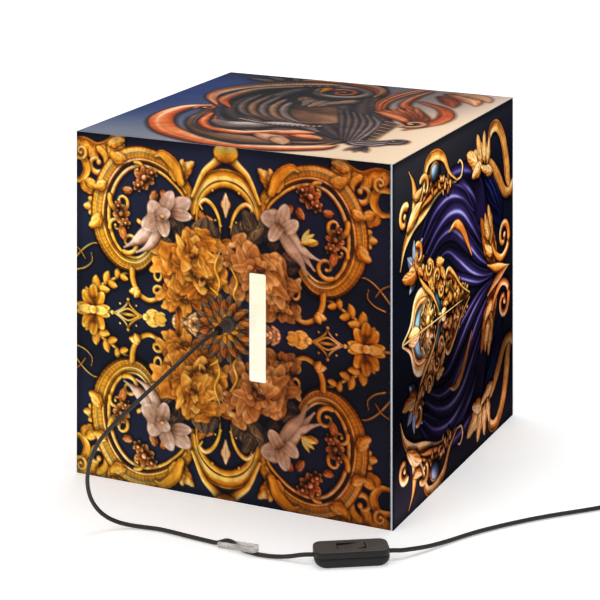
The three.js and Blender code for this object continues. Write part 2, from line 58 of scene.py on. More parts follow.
SC = bpy.context.scene
MM = 0.001
H = 0.150          # half the cube's edge
AXIS_Z = 0.150     # height of the lampholder's axis
CORD_R = 0.0017

# ---------------------------------------------------------------- camera
# An upright picture plane keeps the cube's edges vertical; the eye looks at it from above, so the view is off centre
# and the difference is put in the camera's matrix.
AZ, FOCAL, CY = math.radians(24.861), 2105.759, -327.707
EYE = Vector((2.685, -5.819, 2.343)) * 0.3
right = Vector((math.cos(AZ), math.sin(AZ), 0))
back = Vector((math.sin(AZ), -math.cos(AZ), 0))
up = Vector((0, 0, 1))
k_ = (300 - CY) / FOCAL
n_ = math.sqrt(1 + k_ * k_)
zc = back + k_ * up
holder = bpy.data.objects.new("camera_mount", None)
SC.collection.objects.link(holder)
cam_data = bpy.data.cameras.new("camera")
cam_data.sensor_width = 36
cam_data.lens = FOCAL * n_ * 36 / 600
cam_data.clip_start = 0.05
cam_data.clip_end = 60
cam = bpy.data.objects.new("camera", cam_data)
SC.collection.objects.link(cam)
cam.parent = holder
cam.matrix_parent_inverse = Matrix((
    (right.x, up.x, zc.x, EYE.x),
    (right.y, up.y, zc.y, EYE.y),
    (right.z, up.z, zc.z, EYE.z),
    (0, 0, 0, 1)))
SC.camera = cam

# ---------------------------------------------------------------- mesh helpers


def finish_mesh(name, me, mat, sharp=35.0, recalc=True):
    if recalc:
        bm = bmesh.new()
        bm.from_mesh(me)
        bmesh.ops.recalc_face_normals(bm, faces=bm.faces)
        bm.to_mesh(me)
        bm.free()
    me.polygons.foreach_set("use_smooth", np.ones(len(me.polygons), bool))
    me.set_sharp_from_angle(angle=math.radians(sharp))
    for m in (mat if isinstance(mat, (list, tuple)) else [mat]):
        me.materials.append(m)
    o = bpy.data.objects.new(name, me)
    SC.collection.objects.link(o)
    return o


def from_data(name, verts, faces, mat, matrix=None, sharp=35.0, scale=MM, recalc=True):
    v = np.asarray(verts, float) * scale
    if matrix is not None:
        m = np.array(matrix)
        v = v @ m[:3, :3].T + m[:3, 3]
    me = bpy.data.meshes.new(name)
    me.from_pydata(v.tolist(), [], [tuple(int(i) for i in f) for f in faces])
    me.update()
    return finish_mesh(name, me, mat, sharp, recalc)


def place(obj, body, slot=None, *nodes):
    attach(obj, body)
    if nodes:
        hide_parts(*nodes)
    return obj


def ring_mesh(rings, closed=False, cap0=False, cap1=False):
    """Faces between rings of equal point count; closed joins the last ring to the first."""
    n = len(rings[0])
    verts = np.vstack(rings)
    faces = []
    m = len(rings)
    for j in range(m if closed else m - 1):
        a, b = j * n, ((j + 1) % m) * n
        for i in range(n):
            i2 = (i + 1) % n
            faces.append((a + i, a + i2, b + i2, b + i))
    if cap0:
        faces.append(tuple(range(n - 1, -1, -1)))
    if cap1:
        faces.append(tuple((m - 1) * n + i for i in range(n)))
    return verts, faces


# turned about +Y through (0, AXIS_Z), profile in mm as radius and y
M_AXIS = Matrix.Translation((0, 0, AXIS_Z)) @ Matrix.Rotation(math.radians(-90), 4, "X")


def lathe(name, prof, mat, n=72, matrix=M_AXIS, sharp=30.0, flute=None, closed=True):
    """Turned about local Z; prof is (radius, z) in mm, closed on itself unless it starts and ends on the axis. flute(angle, r, z) may change the radius."""
    a = np.arange(n) * 2 * np.pi / n
    rings, tips = [], {}
    on_axis = prof[0][0] < 1e-6 and prof[-1][0] < 1e-6
    body = prof[1:-1] if on_axis else prof
    for r, z in body:
        rr = np.full(n, float(r)) if flute is None else flute(a, r, z)
        rings.append(np.stack([rr * np.cos(a), rr * np.sin(a), np.full(n, float(z))], 1))
    verts, faces = ring_mesh(rings, closed=not on_axis and closed)
    if on_axis:
        verts = np.vstack([verts, [[0, 0, prof[0][1]], [0, 0, prof[-1][1]]]])
        i0, i1 = len(verts) - 2, len(verts) - 1
        last = (len(rings) - 1) * n
        for i in range(n):
            i2 = (i + 1) % n
            faces.append((i0, i2, i))
            faces.append((i1, last + i, last + i2))
    return from_data(name, verts, faces, mat, matrix, sharp)


def fillet_profile(pts, r=0.5, steps=4):
    """Rounds the corners of a closed profile by r."""
    out = []
    n = len(pts)
    P = [np.array(p, float) for p in pts]
    for i in range(n):
        a, b, c = P[i - 1], P[i], P[(i + 1) % n]
        u, v = a - b, c - b
        lu, lv = np.linalg.norm(u), np.linalg.norm(v)
        d = min(r, 0.42 * lu, 0.42 * lv)
        u, v = u / lu, v / lv
        if abs(np.dot(u, v)) > 0.995:
            out.append(tuple(b))
            continue
        for k in range(steps + 1):
            t = k / steps
            p = (1 - t) ** 2 * (b + u * d) + 2 * t * (1 - t) * b + t * t * (b + v * d)
            out.append((float(p[0]), float(p[1])))
    return out


def rrect(L, W, r, n=96, z=0.0):
    """A rounded rectangle of n points spread evenly along it, starting at +x, so that rings of different sizes match up."""
    r = max(min(r, L / 2 - 0.01, W / 2 - 0.01), 0.02)
    q = n // 4
    pts = []
    # each quarter has the same share of straight and arc points
    na = q // 2
    ns = q - na
    for k, (sx, sy) in enumerate(((1, 1), (-1, 1), (-1, -1), (1, -1))):
        cx, cy = sx * (L / 2 - r), sy * (W / 2 - r)
        a0 = k * 90
        arc = [(cx + r * math.cos(math.radians(a0 + 90 * i / na)), cy + r * math.sin(math.radians(a0 + 90 * i / na))) for i in range(na + 1)]
        nxt = ((-1, 1), (-1, -1), (1, -1), (1, 1))[k]
        bx, by = nxt[0] * (L / 2 - r), nxt[1] * (W / 2 - r)
        a1 = a0 + 90
        e = (bx + r * math.cos(math.radians(a1)), by + r * math.sin(math.radians(a1)))
        s = arc[-1]
        straight = [(s[0] + (e[0] - s[0]) * i / ns, s[1] + (e[1] - s[1]) * i / ns) for i in range(1, ns)]
        pts += arc + straight
    return np.array([(x, y, z) for x, y in pts])


def catmull(points, step=2.0, start=None):
    """A centripetal curve through the points, sampled about every step."""
    P = np.asarray(points, float)
    P = np.vstack([2 * P[0] - P[1], P, 2 * P[-1] - P[-2]])
    out = []
    for i in range(1, len(P) - 2):
        x0, x1, x2, x3 = P[i - 1], P[i], P[i + 1], P[i + 2]
        d0, d1, d2 = (max(float(np.linalg.norm(b - a)) ** 0.5, 1e-4) for a, b in ((x0, x1), (x1, x2), (x2, x3)))
        t1 = ((x1 - x0) / d0 - (x2 - x0) / (d0 + d1) + (x2 - x1) / d1) * d1
        t2 = ((x2 - x1) / d1 - (x3 - x1) / (d1 + d2) + (x3 - x2) / d2) * d1
        n = max(2, int(round(np.linalg.norm(x2 - x1) / step)))
        t = np.linspace(0, 1, n, endpoint=False)[:, None]
        out.append((2 * t ** 3 - 3 * t ** 2 + 1) * x1 + (t ** 3 - 2 * t ** 2 + t) * t1 + (-2 * t ** 3 + 3 * t ** 2) * x2 + (t ** 3 - t ** 2) * t2)
    out.append(P[-2][None])
    return np.vstack(out)


def frames(C):
    """Unit tangents and a turning-free normal and binormal along the points."""
    d = np.diff(C, axis=0)
    d /= np.linalg.norm(d, axis=1)[:, None]
    t = np.vstack([d[0], d[:-1] + d[1:], d[-1]])
    t /= np.linalg.norm(t, axis=1)[:, None]
    ref = np.array([0, 0, 1.0]) if abs(t[0][2]) < 0.9 else np.array([1.0, 0, 0])
    nrm = [np.cross(ref, t[0]) / np.linalg.norm(np.cross(ref, t[0]))]
    for i in range(1, len(t)):
        v = nrm[-1] - t[i] * np.dot(nrm[-1], t[i])
        nrm.append(v / np.linalg.norm(v))
    nrm = np.array(nrm)
    return t, nrm, np.cross(t, nrm)


def sweep_data(C, r, sides=20):
    t, n, b = frames(C)
    a = np.arange(sides) * 2 * np.pi / sides
    rr = np.broadcast_to(np.asarray(r, float), (len(C),))
    rings = [C[i] + rr[i] * (np.cos(a)[:, None] * n[i] + np.sin(a)[:, None] * b[i]) for i in range(len(C))]
    return ring_mesh(rings, cap0=True, cap1=True)


def sweep(name, C, r, mat, sides=20, sharp=50.0):
    """A round tube in mm along the points."""
    verts, faces = sweep_data(C, r, sides)
    o = from_data(name, verts, faces, mat, None, sharp)
    return o


def path_length(C):
    return float(np.linalg.norm(np.diff(C, axis=0), axis=1).sum())


def boolean(target, tool, op="DIFFERENCE", keep=False):
    m = target.modifiers.new("cut", "BOOLEAN")
    m.operation = op
    m.object = tool
    m.solver = "EXACT"
    dg = bpy.context.evaluated_depsgraph_get()
    dg.update()
    me = bpy.data.meshes.new_from_object(target.evaluated_get(dg))
    target.modifiers.remove(m)
    old = target.data
    target.data = me
    bpy.data.meshes.remove(old)
    if not keep:
        t = tool.data
        bpy.data.objects.remove(tool)
        bpy.data.meshes.remove(t)
    return target


def soften(obj, sharp=35.0):
    me = obj.data
    me.polygons.foreach_set("use_smooth", np.ones(len(me.polygons), bool))
    me.set_sharp_from_angle(angle=math.radians(sharp))


def prism(name, outline, z0, z1, mat, matrix=None, bevel=0.0, segments=3, sharp=35.0, holes=(), angle=25.0):
    """An outline in mm (x, y) raised from z0 to z1, with rounded edges."""
    bm = bmesh.new()
    loops = [outline, *holes]
    edges = []
    for lp in loops:
        vs = [bm.verts.new((x, y, z0)) for x, y in lp]
        for i in range(len(vs)):
            edges.append(bm.edges.new((vs[i], vs[(i + 1) % len(vs)])))
    if holes:
        bmesh.ops.triangle_fill(bm, edges=edges, use_beauty=True)
    else:
        bm.faces.new(list(bm.verts))
    bottom = list(bm.faces)
    r = bmesh.ops.extrude_face_region(bm, geom=bottom)
    top = [g for g in r["geom"] if isinstance(g, bmesh.types.BMVert)]
    for v in top:
        v.co.z = z1
    bmesh.ops.recalc_face_normals(bm, faces=bm.faces)
    bmesh.ops.dissolve_limit(bm, angle_limit=math.radians(1), verts=bm.verts, edges=bm.edges)
    if bevel > 0:
        es = [e for e in bm.edges if len(e.link_faces) == 2 and e.calc_face_angle(0) > math.radians(angle)]
        bmesh.ops.bevel(bm, geom=es, offset=bevel, segments=segments, profile=0.5, affect="EDGES", clamp_overlap=True)
    me = bpy.data.meshes.new(name)
    for v in bm.verts:
        v.co *= MM
    if matrix is not None:
        bmesh.ops.transform(bm, matrix=matrix, verts=bm.verts)
    bm.to_mesh(me)
    bm.free()
    return finish_mesh(name, me, mat, sharp)

# ---------------------------------------------------------------- materials


class Mat:
    """A node material with a few shortcuts."""

    def __init__(self, name):
        self.m = bpy.data.materials.new(name)
        self.m.use_nodes = True
        self.nt = self.m.node_tree
        self.b = self.nt.nodes["Principled BSDF"]
        self.tc = self.nt.nodes.new("ShaderNodeTexCoord")

    def node(self, kind, **values):
        n = self.nt.nodes.new(kind)
        for k, v in values.items():
            setattr(n, k, v)
        return n

    def link(self, a, b):
        self.nt.links.new(a, b)

    def set(self, **values):
        for k, v in values.items():
            self.b.inputs[k.replace("_", " ")].default_value = v

    def coords(self, scale=(1, 1, 1), rot=(0, 0, 0)):
        mp = self.node("ShaderNodeMapping")
        mp.inputs["Scale"].default_value = scale
        mp.inputs["Rotation"].default_value = rot
        self.link(self.tc.outputs["Object"], mp.inputs["Vector"])
        return mp.outputs["Vector"]

    def noise(self, scale, detail=3.0, rough=0.55, vec=None, distortion=0.0):
        n = self.node("ShaderNodeTexNoise")
        n.inputs["Scale"].default_value = scale
        n.inputs["Detail"].default_value = detail
        n.inputs["Roughness"].default_value = rough
        n.inputs["Distortion"].default_value = distortion
        self.link(vec if vec is not None else self.tc.outputs["Object"], n.inputs["Vector"])
        return n.outputs["Fac"]

    def range(self, fac, a, b, lo=0.3, hi=0.7):
        n = self.node("ShaderNodeMapRange")
        n.inputs["From Min"].default_value = lo
        n.inputs["From Max"].default_value = hi
        n.inputs["To Min"].default_value = a
        n.inputs["To Max"].default_value = b
        self.link(fac, n.inputs["Value"])
        return n.outputs["Result"]

    def mix(self, fac, a, b, blend="MIX"):
        n = self.node("ShaderNodeMix", data_type="RGBA", blend_type=blend)
        if isinstance(fac, (int, float)):
            n.inputs[0].default_value = fac
        else:
            self.link(fac, n.inputs[0])
        for sock, v in ((n.inputs[6], a), (n.inputs[7], b)):
            if isinstance(v, (tuple, list)):
                sock.default_value = (*v[:3], 1)
            else:
                self.link(v, sock)
        return n.outputs[2]

    def math(self, op, a, b=0.0, c=None):
        n = self.node("ShaderNodeMath", operation=op)
        for i, v in enumerate((a, b) if c is None else (a, b, c)):
            if isinstance(v, (int, float)):
                n.inputs[i].default_value = v
            else:
                self.link(v, n.inputs[i])
        return n.outputs[0]

    def bump(self, height, strength=0.2, distance=0.0002, after=None):
        n = self.node("ShaderNodeBump")
        n.inputs["Strength"].default_value = strength
        n.inputs["Distance"].default_value = distance
        self.link(height, n.inputs["Height"])
        if after is not None:
            self.link(after, n.inputs["Normal"])
        return n.outputs["Normal"]

    def to(self, out, socket):
        self.link(out, self.b.inputs[socket])


def lin(r, g, b):
    """sRGB 0 to 255 as linear."""
    return tuple((c / 255 / 12.92) if c / 255 <= 0.04045 else ((c / 255 + 0.055) / 1.055) ** 2.4 for c in (r, g, b))


def plastic(name, rgb, rough=0.45, spread=0.06, grain=900.0, bump=0.12, tone=0.12, spec=0.5, coat=0.0, painted_top_light=None, lit=None):
    """A moulded plastic: faint mottling, spark-eroded grain and uneven gloss."""
    m = Mat(name)
    base = lin(*rgb)
    dark = tuple(c * (1 - tone) for c in base)
    lite = tuple(min(1, c * (1 + tone)) for c in base)
    body = m.mix(m.range(m.noise(70, 4), 0, 1), dark, lite)
    if painted_top_light:
        # faces that look up are painted paler: painted light from above on the moulding
        geo = m.node("ShaderNodeNewGeometry")
        sep = m.node("ShaderNodeSeparateXYZ")
        m.link(geo.outputs["Normal"], sep.inputs[0])
        body = m.mix(m.range(sep.outputs[2], 0, 1, 0.55, 0.97), body, m.mix(m.range(m.noise(70, 4), 0, 1), lin(*(c * 0.95 for c in painted_top_light)), lin(*(c * 1.05 for c in painted_top_light))))
    m.to(body, "Base Color")
    if lit:
        # thin white mouldings round the lamp get a faint painted glow: painted light standing in for the lamp's light
        # on and through them
        m.to(m.mix(m.range(m.noise(30, 2), 0, 1), lin(253, 242, 216), lin(255, 247, 226)), "Emission Color")
        m.set(Emission_Strength=lit)
    m.to(m.range(m.noise(160, 3), rough - spread, rough + spread), "Roughness")
    m.to(m.bump(m.noise(grain, 2, 0.6), bump, 0.00008), "Normal")
    m.set(Specular_IOR_Level=spec, Coat_Weight=coat, Coat_Roughness=0.2)
    return m


def metal_mat(name, rgb, rough=0.28, brush=(1, 1, 1), tone=0.08):
    """Plated or turned metal with fine tool marks."""
    m = Mat(name)
    base = lin(*rgb)
    fac = m.noise(900, 3, 0.5, m.coords(brush))
    m.to(m.mix(m.range(fac, 0, 1), tuple(c * (1 - tone) for c in base), tuple(min(1, c * (1 + tone)) for c in base)), "Base Color")
    m.to(m.range(m.noise(420, 3, 0.6, m.coords(brush)), rough - 0.08, rough + 0.12), "Roughness")
    m.to(m.bump(fac, 0.1, 0.00004), "Normal")
    m.set(Metallic=1.0)
    return m


def print_mat(name, glow=0.12, rough=0.55, spec=0.1):
    """UV print on opal acrylic: the ink's colours, a fine rosette of droplets, and a satin ink surface that is a little uneven."""
    m = Mat(name)
    at = m.node("ShaderNodeAttribute", attribute_name="Art", attribute_type="GEOMETRY")
    grain = m.noise(2600, 2, 0.7)
    cloud = m.noise(14, 4, 0.55)
    vor = m.node("ShaderNodeTexVoronoi", feature="F1")
    vor.inputs["Scale"].default_value = 1900
    m.link(m.tc.outputs["Object"], vor.inputs["Vector"])
    tint = m.mix(m.range(grain, 0.0, 1.0), (0.94, 0.94, 0.94), (1.06, 1.06, 1.06))
    col = m.mix(1.0, at.outputs["Color"], tint, "MULTIPLY")
    tint2 = m.mix(m.range(cloud, 0.0, 1.0), (0.975, 0.975, 0.98), (1.025, 1.02, 1.015))
    col = m.mix(1.0, col, tint2, "MULTIPLY")
    m.to(col, "Base Color")
    # painted light: the print also gives off its own colours as a faint glow, its strength set face by face
    m.to(col, "Emission Color")
    m.set(Emission_Strength=glow, Specular_IOR_Level=spec)
    m.to(m.range(m.noise(60, 4), rough - 0.05, rough + 0.07), "Roughness")
    m.to(m.bump(vor.outputs["Distance"], 0.06, 0.00003), "Normal")
    return m


def inside_mask(m, half=0.1489, z0=0.0005, z1=0.2990):
    """1 on the faces inside the box and 0 on its outside, from the place on the part itself."""
    sep = m.node("ShaderNodeSeparateXYZ")
    m.link(m.tc.outputs["Object"], sep.inputs[0])
    ax = m.math("ABSOLUTE", sep.outputs[0])
    ay = m.math("ABSOLUTE", sep.outputs[1])
    ox = m.math("LESS_THAN", ax, half)
    oy = m.math("LESS_THAN", ay, half)
    oz = m.math("LESS_THAN", sep.outputs[2], z1)
    ozl = m.math("GREATER_THAN", sep.outputs[2], z0)
    return m.math("MULTIPLY", m.math("MULTIPLY", ox, oy), m.math("MULTIPLY", oz, ozl))


def opal_panel(name):
    """Milk-white acrylic, lit from inside: the faces that look into the box carry a painted glow for the lamp's light,
    the sawn and polished edges don't.
    """
    m = Mat(name)
    cloud = m.noise(9, 4, 0.5)
    m.to(m.range(m.noise(220, 3, 0.6, m.coords((1, 1, 6))), 0.22, 0.36), "Roughness")
    m.to(m.bump(m.noise(1500, 2), 0.04, 0.00003), "Normal")
    mask = inside_mask(m)
    # painted glow on the faces inside the box
    glow = m.mix(m.range(m.noise(5, 2), 0, 1), lin(253, 246, 223), lin(255, 249, 228))
    m.to(m.mix(mask, (0, 0, 0), glow), "Emission Color")
    m.set(Emission_Strength=1.0, Specular_IOR_Level=0.3)
    # little of the room's light is given back by the inside, so that the glow keeps its colour
    milk = m.mix(m.range(cloud, 0, 1), lin(214, 220, 230), lin(226, 230, 238))
    # the ink runs a little over both arrises of the right panel's front edge
    sep = m.node("ShaderNodeSeparateXYZ")
    m.link(m.tc.outputs["Object"], sep.inputs[0])
    fore = m.math("MULTIPLY", m.math("LESS_THAN", sep.outputs[1], -0.1499), m.math("GREATER_THAN", sep.outputs[0], 0.1479))
    arris = m.math("ADD", m.math("LESS_THAN", sep.outputs[0], 0.14835), m.math("GREATER_THAN", sep.outputs[0], 0.14935))
    milk = m.mix(m.math("MULTIPLY", fore, arris), milk, lin(14, 14, 20))
    m.to(m.mix(mask, milk, (0.02, 0.02, 0.02)), "Base Color")
    return m


def clear_mat(name, tint=(0.97, 0.98, 0.97), rough=0.06, ior=1.49, through=1.0, bump=0.05):
    m = Mat(name)
    m.to(m.mix(m.range(m.noise(120, 3), 0, 1), tuple(c * 0.985 for c in tint), tint), "Base Color")
    m.to(m.range(m.noise(300, 3), rough, rough + 0.06), "Roughness")
    m.to(m.bump(m.noise(420, 3), bump, 0.00005), "Normal")
    m.set(Transmission_Weight=through, IOR=ior)
    return m


def cord_mat(name, rgb):
    """Extruded PVC: matt, with faint drawn lines and a little dirt."""
    m = Mat(name)
    base = lin(*rgb)
    m.to(m.mix(m.range(m.noise(240, 4, 0.6), 0, 1), tuple(c * 0.82 for c in base), tuple(c * 1.2 for c in base)), "Base Color")
    m.to(m.range(m.noise(500, 3), 0.42, 0.58), "Roughness")
    m.to(m.bump(m.noise(1400, 3, 0.6), 0.15, 0.00006), "Normal")
    m.set(Specular_IOR_Level=0.32)
    return m


def tie_mat(name):
    """Hook-and-loop tape: a dark pile of short loops."""
    m = Mat(name)
    vor = m.node("ShaderNodeTexVoronoi", feature="F1")
    vor.inputs["Scale"].default_value = 1500
    m.link(m.tc.outputs["Object"], vor.inputs["Vector"])
    m.to(m.mix(vor.outputs["Distance"], lin(26, 26, 28), lin(58, 57, 58)), "Base Color")
    m.to(m.range(m.noise(700, 3), 0.8, 0.95), "Roughness")
    m.to(m.bump(vor.outputs["Distance"], 0.6, 0.0003), "Normal")
    m.set(Sheen_Weight=0.35, Sheen_Roughness=0.5)
    return m


def bulb_mat(name):
    m = Mat(name)
    m.to(m.mix(m.range(m.noise(40, 3), 0, 1), lin(250, 246, 236), lin(255, 252, 244)), "Base Color")
    m.to(m.range(m.noise(200, 3), 0.25, 0.4), "Roughness")
    m.to(m.mix(m.range(m.noise(30, 2), 0, 1), lin(255, 240, 206), lin(255, 246, 220)), "Emission Color")
    m.set(Emission_Strength=1.25)
    return m


def led_mat(name):
    """The board's white mask with a ring of yellow phosphor squares."""
    m = Mat(name)
    br = m.node("ShaderNodeTexBrick")
    br.inputs["Scale"].default_value = 210
    br.inputs["Mortar Size"].default_value = 0.045
    br.inputs["Color1"].default_value = (*lin(246, 214, 60), 1)
    br.inputs["Color2"].default_value = (*lin(250, 224, 90), 1)
    br.inputs["Mortar"].default_value = (*lin(240, 240, 232), 1)
    m.link(m.coords((1, 1, 1), (math.radians(90), 0, 0)), br.inputs["Vector"])
    m.to(br.outputs["Color"], "Base Color")
    m.to(m.range(m.noise(300, 2), 0.3, 0.5), "Roughness")
    return m


MAT = {
    "print_front": print_mat("ink_front", 0.20, 0.55, 0.05),
    "print_right": print_mat("ink_right", 0.36, 0.6, 0.0),
    "print_top": print_mat("ink_top", 0.02),
    "print_rear": print_mat("ink_rear", 0.25),
    "print_left": print_mat("ink_left", 0.25),
    "opal": opal_panel("opal_acrylic_lit"),
    "clear": clear_mat("clear_acrylic"),
    "clear_plastic": clear_mat("clear_polycarbonate", (0.86, 0.84, 0.81), 0.22, 1.16, 0.64, 0.01),
    "grey": plastic("grey_nylon", (68, 63, 56), 0.55, 0.06, 700, 0.2, 0.14, 0.3),
    # the black plastic's upward faces carry a paler painted light
    "black": plastic("black_plastic", (34, 34, 35), 0.46, 0.06, 1100, 0.16, 0.1, 0.25, painted_top_light=(82, 79, 75)),
    # near-black rubber, also painted shade for the grip's hollow mouth
    "bush": plastic("bushing_rubber_and_painted_shade", (9, 9, 9), 0.7, 0.08, 900, 0.2, 0.2, 0.2),
    "cord": cord_mat("cord_pvc", (46, 42, 38)),
    "tie": tie_mat("hook_and_loop"),
    # the white mouldings carry a faint painted glow
    "white": plastic("white_plastic", (240, 238, 230), 0.36, 0.06, 900, 0.08, 0.02, 0.5, lit=0.17),
    "bulb": bulb_mat("opal_diffuser_lit"),
    "led": led_mat("led_board"),
    "zinc": metal_mat("zinc_steel", (190, 192, 196), 0.34),
    "nickel": metal_mat("nickel", (206, 202, 194), 0.2),
    "brass": metal_mat("brass", (206, 168, 92), 0.26),
    "brown": plastic("wire_brown", (112, 62, 30), 0.5, 0.05, 900, 0.1, 0.1),
    "blue": plastic("wire_blue", (40, 92, 170), 0.5, 0.05, 900, 0.1, 0.1),
}
MAT = {k: v.m for k, v in MAT.items()}

# ---------------------------------------------------------------- cords
SW = dict(x=142.15, y=-217.9, deg=31.8, L=60, W=24.8, H=12.5, seam=6.9, r=7.0)
ADJ = dict(x=35.5, y=-236.5, deg=-8.0, L=37, W=8.5, t=4.2, z0=0.3, z1=4.0)
COIL = (336.0, -36.0)
PLUG = dict(x=397.0, y=-77.6, deg=-55.0)


def sw_point(x, y, z):
    a = math.radians(SW["deg"])
    return (SW["x"] + x * math.cos(a) - y * math.sin(a), SW["y"] + x * math.sin(a) + y * math.cos(a), z)


def adj_point(s, z, off=0.0):
    a = math.radians(ADJ["deg"])
    return (ADJ["x"] + s * math.cos(a) - off * math.sin(a), ADJ["y"] + s * math.sin(a) + off * math.cos(a), z)


def plug_point(x, y, z):
    a = math.radians(PLUG["deg"])
    return (PLUG["x"] + x * math.cos(a) - y * math.sin(a), PLUG["y"] + x * math.sin(a) + y * math.cos(a), z)


LAMP_LEAD = [
    (0, -137.5, 150), (0, -158, 150), (0, -172, 150), (0, -180, 149.9), (-0.4, -192.3, 149.2), (-1.4, -205, 147.5), (-2.9, -216.3, 144.6),
    (-5.5, -228.3, 140.3), (-9.3, -238.3, 135.3), (-13.9, -246.9, 129.5), (-19.1, -254.1, 123.5), (-25, -260.1, 117), (-31.5, -264.8, 110),
    (-38.7, -268.5, 102.6), (-44.9, -270.5, 95.8), (-50.8, -271.6, 88.9), (-56.3, -271.8, 81.6), (-61.3, -271.1, 73.3), (-65.4, -269.7, 65),
    (-68.6, -267.7, 56.5), (-71.3, -264.7, 46.1), (-72.4, -261.2, 36.5), (-71.9, -256.9, 26.9), (-68.8, -251.2, 17.2), (-63.8, -245.9, 10.4),
    (-56.6, -240.4, 5.5), (-48.4, -236.2, 3.0), (-38, -233, 1.95), (-24, -231.2, 1.95), (-11, -231.8, 1.95), (2, -233.2, 1.95), (14, -234.3, 1.95),
    (22, -235.0, 1.95), adj_point(-7.2, 1.97), adj_point(-3.0, 2.4), adj_point(1.2, 4.15), adj_point(5.2, 5.98), adj_point(9.2, 6.54), adj_point(13.2, 5.98),
    adj_point(17.2, 4.15), adj_point(21.4, 2.4), adj_point(25.6, 1.97), adj_point(30, 1.95), adj_point(35, 1.95), (78.5, -241.0, 1.95), (85.6, -239.7, 2.05),
    (92.2, -238.4, 2.6), (98.6, -237.4, 3.7), (104.8, -236.6, 5.3),
    (110.7, -235.75, 6.5), sw_point(-30, 0, 6.9), sw_point(-25, 0, 6.9)]

MAINS_LEAD = [
    sw_point(25, 0, 6.9), sw_point(30, 0, 6.9), sw_point(34, 0.3, 6.8), (175.6, -196.3, 6.3), (180.2, -190.0, 5.5), (185.2, -182.2, 4.5),
    (190.2, -173.2, 3.4), (195.3, -162.9, 2.55), (201, -151.6, 2.05), (208, -138.2, 1.95), (215.5, -125.5, 1.95), (223.3, -113.9, 1.95),
    (231.4, -102.8, 1.95), (239.8, -92, 1.95), (248.2, -81.7, 1.95), (257, -71.8, 1.95), (266, -62.3, 1.95), (275.2, -53.0, 1.95),
    (284.2, -43.6, 1.9), (292.8, -34.4, 1.9), (300.8, -26.6, 1.9), (308.2, -19.9, 1.9)]


def coil_points():
    """Six and a quarter turns, clockwise: inwards on the floor, out on top of that, and part of a third layer."""
    a0, turns = 132.0, 6.27
    t = np.arange(0, turns + 1e-6, 1 / 20.0)
    r = np.interp(t, [0, 2.4, 2.7, 5.0, 5.3, turns], [30.6, 21.5, 21.5, 30.6, 30.6, 26.7])
    z = np.interp(t, [0, 2.38, 2.62, 5.0, 5.24, turns], [1.9, 1.9, 5.4, 5.4, 8.9, 8.9])
    a = np.radians(a0 - 360 * t)
    return [(COIL[0] + r_ * math.cos(a_), COIL[1] + r_ * math.sin(a_), z_) for r_, a_, z_ in zip(r, a, z)]


coil = coil_points()
TAIL = [(361.2, -24.2, 8.9), (365.8, -31.0, 8.8), (369.9, -38.0, 8.0),
        plug_point(-41, 0, 7.1), plug_point(-36, 0, 6.8), plug_point(-28, 0, 6.8), plug_point(-19, 0, 6.8)]

lamp_path = catmull(LAMP_LEAD, 1.6)
mains_path = catmull(MAINS_LEAD + coil + TAIL, 2.2)
print("cord lengths", path_length(lamp_path) * MM, path_length(mains_path) * MM)

lamp_cord = sweep("lamp_cord", lamp_path, CORD_R / MM, MAT["cord"], 18)
mains_cord = sweep("mains_cord", mains_path, CORD_R / MM, MAT["cord"], 16)
place(lamp_cord, "service_panel", "cord_pvc", "lamp_lead")
place(mains_cord, "service_panel", "cord_pvc", "mains_lead", "cord_coil", "plug_tail")

# ---------------------------------------------------------------- lampholder and gland, turned parts
SP = "service_panel"


def chamfered(pts, r=0.35):
    return fillet_profile(pts, r, 3)


# grip: a knurled-less moulded nut with a soft crown and a long tapered barrel, in one grey piece
grip = lathe("cord_grip_moulding", fillet_profile([
    (2.3, -150.35), (6.9, -150.35), (6.9, -153.4), (6.35, -154.9), (5.0, -155.6), (4.55, -158.2), (4.4, -163.0), (4.15, -169.4), (2.3, -169.4)], 0.7, 5),
    MAT["grey"], 80, M_AXIS)
place(grip, SP, "grey_nylon", "cord_grip")
# a black rubber sleeve at the grip's mouth; its near-black colour is also painted shade for the hollow mouth
bush = lathe("cord_bushing_sleeve", fillet_profile([(2.0, -169.65), (3.95, -169.65), (3.95, -170.9), (3.4, -172.1), (2.6, -172.35), (2.0, -172.2)], 0.35, 4), MAT["bush"], 64)
place(bush, SP, "black_plastic", "cord_bushing")


def thread(depth, pitch, z0, z1):
    """Radius cut by a helical thread between z0 and z1."""
    def f(a, r, z):
        s = ((z - z0) / pitch - a / (2 * np.pi)) % 1.0
        ends = np.clip((z - z0) / pitch, 0, 1) * np.clip((z1 - z) / pitch, 0, 1)
        return r - depth * (0.5 - 0.5 * np.cos(2 * np.pi * s)) * ends
    return f


def outer_only(f, limit):
    return lambda a, r, z: f(a, r, z) if r > limit else np.full(len(a), float(r))


zz = np.linspace(-150.0, -134.6, 78)
nip = lathe("threaded_nipple_m10", [(2.45, -150.0)] + [(4.8, z) for z in zz] + [(2.45, -134.6)], MAT["zinc"], 48, M_AXIS, 60,
            outer_only(thread(0.32, 1.0, -149.6, -135.0), 4.0))
place(nip, SP, "zinc_steel", "threaded_nipple")

cap = lathe("holder_cap_dome", fillet_profile([(5.1, -143.1), (10.6, -143.1), (14.6, -142.0), (17.6, -139.6), (19.2, -136.4), (19.6, -132.5), (19.6, -128.4),
                                               (17.6, -128.4), (17.3, -134.5), (15.6, -138.2), (12.6, -139.4), (5.1, -139.4)], 0.5, 3), MAT["white"], 96)
place(cap, SP, "white_plastic", "holder_cap")


def ribs(count, depth, z0, z1, limit):
    def f(a, r, z):
        if r < limit or z < z0 or z > z1:
            return np.full(len(a), float(r))
        e = min(1.0, (z - z0) / 1.0, (z1 - z) / 1.0)
        return r - depth * e * (0.5 - 0.5 * np.cos(a * count)) ** 2
    return f


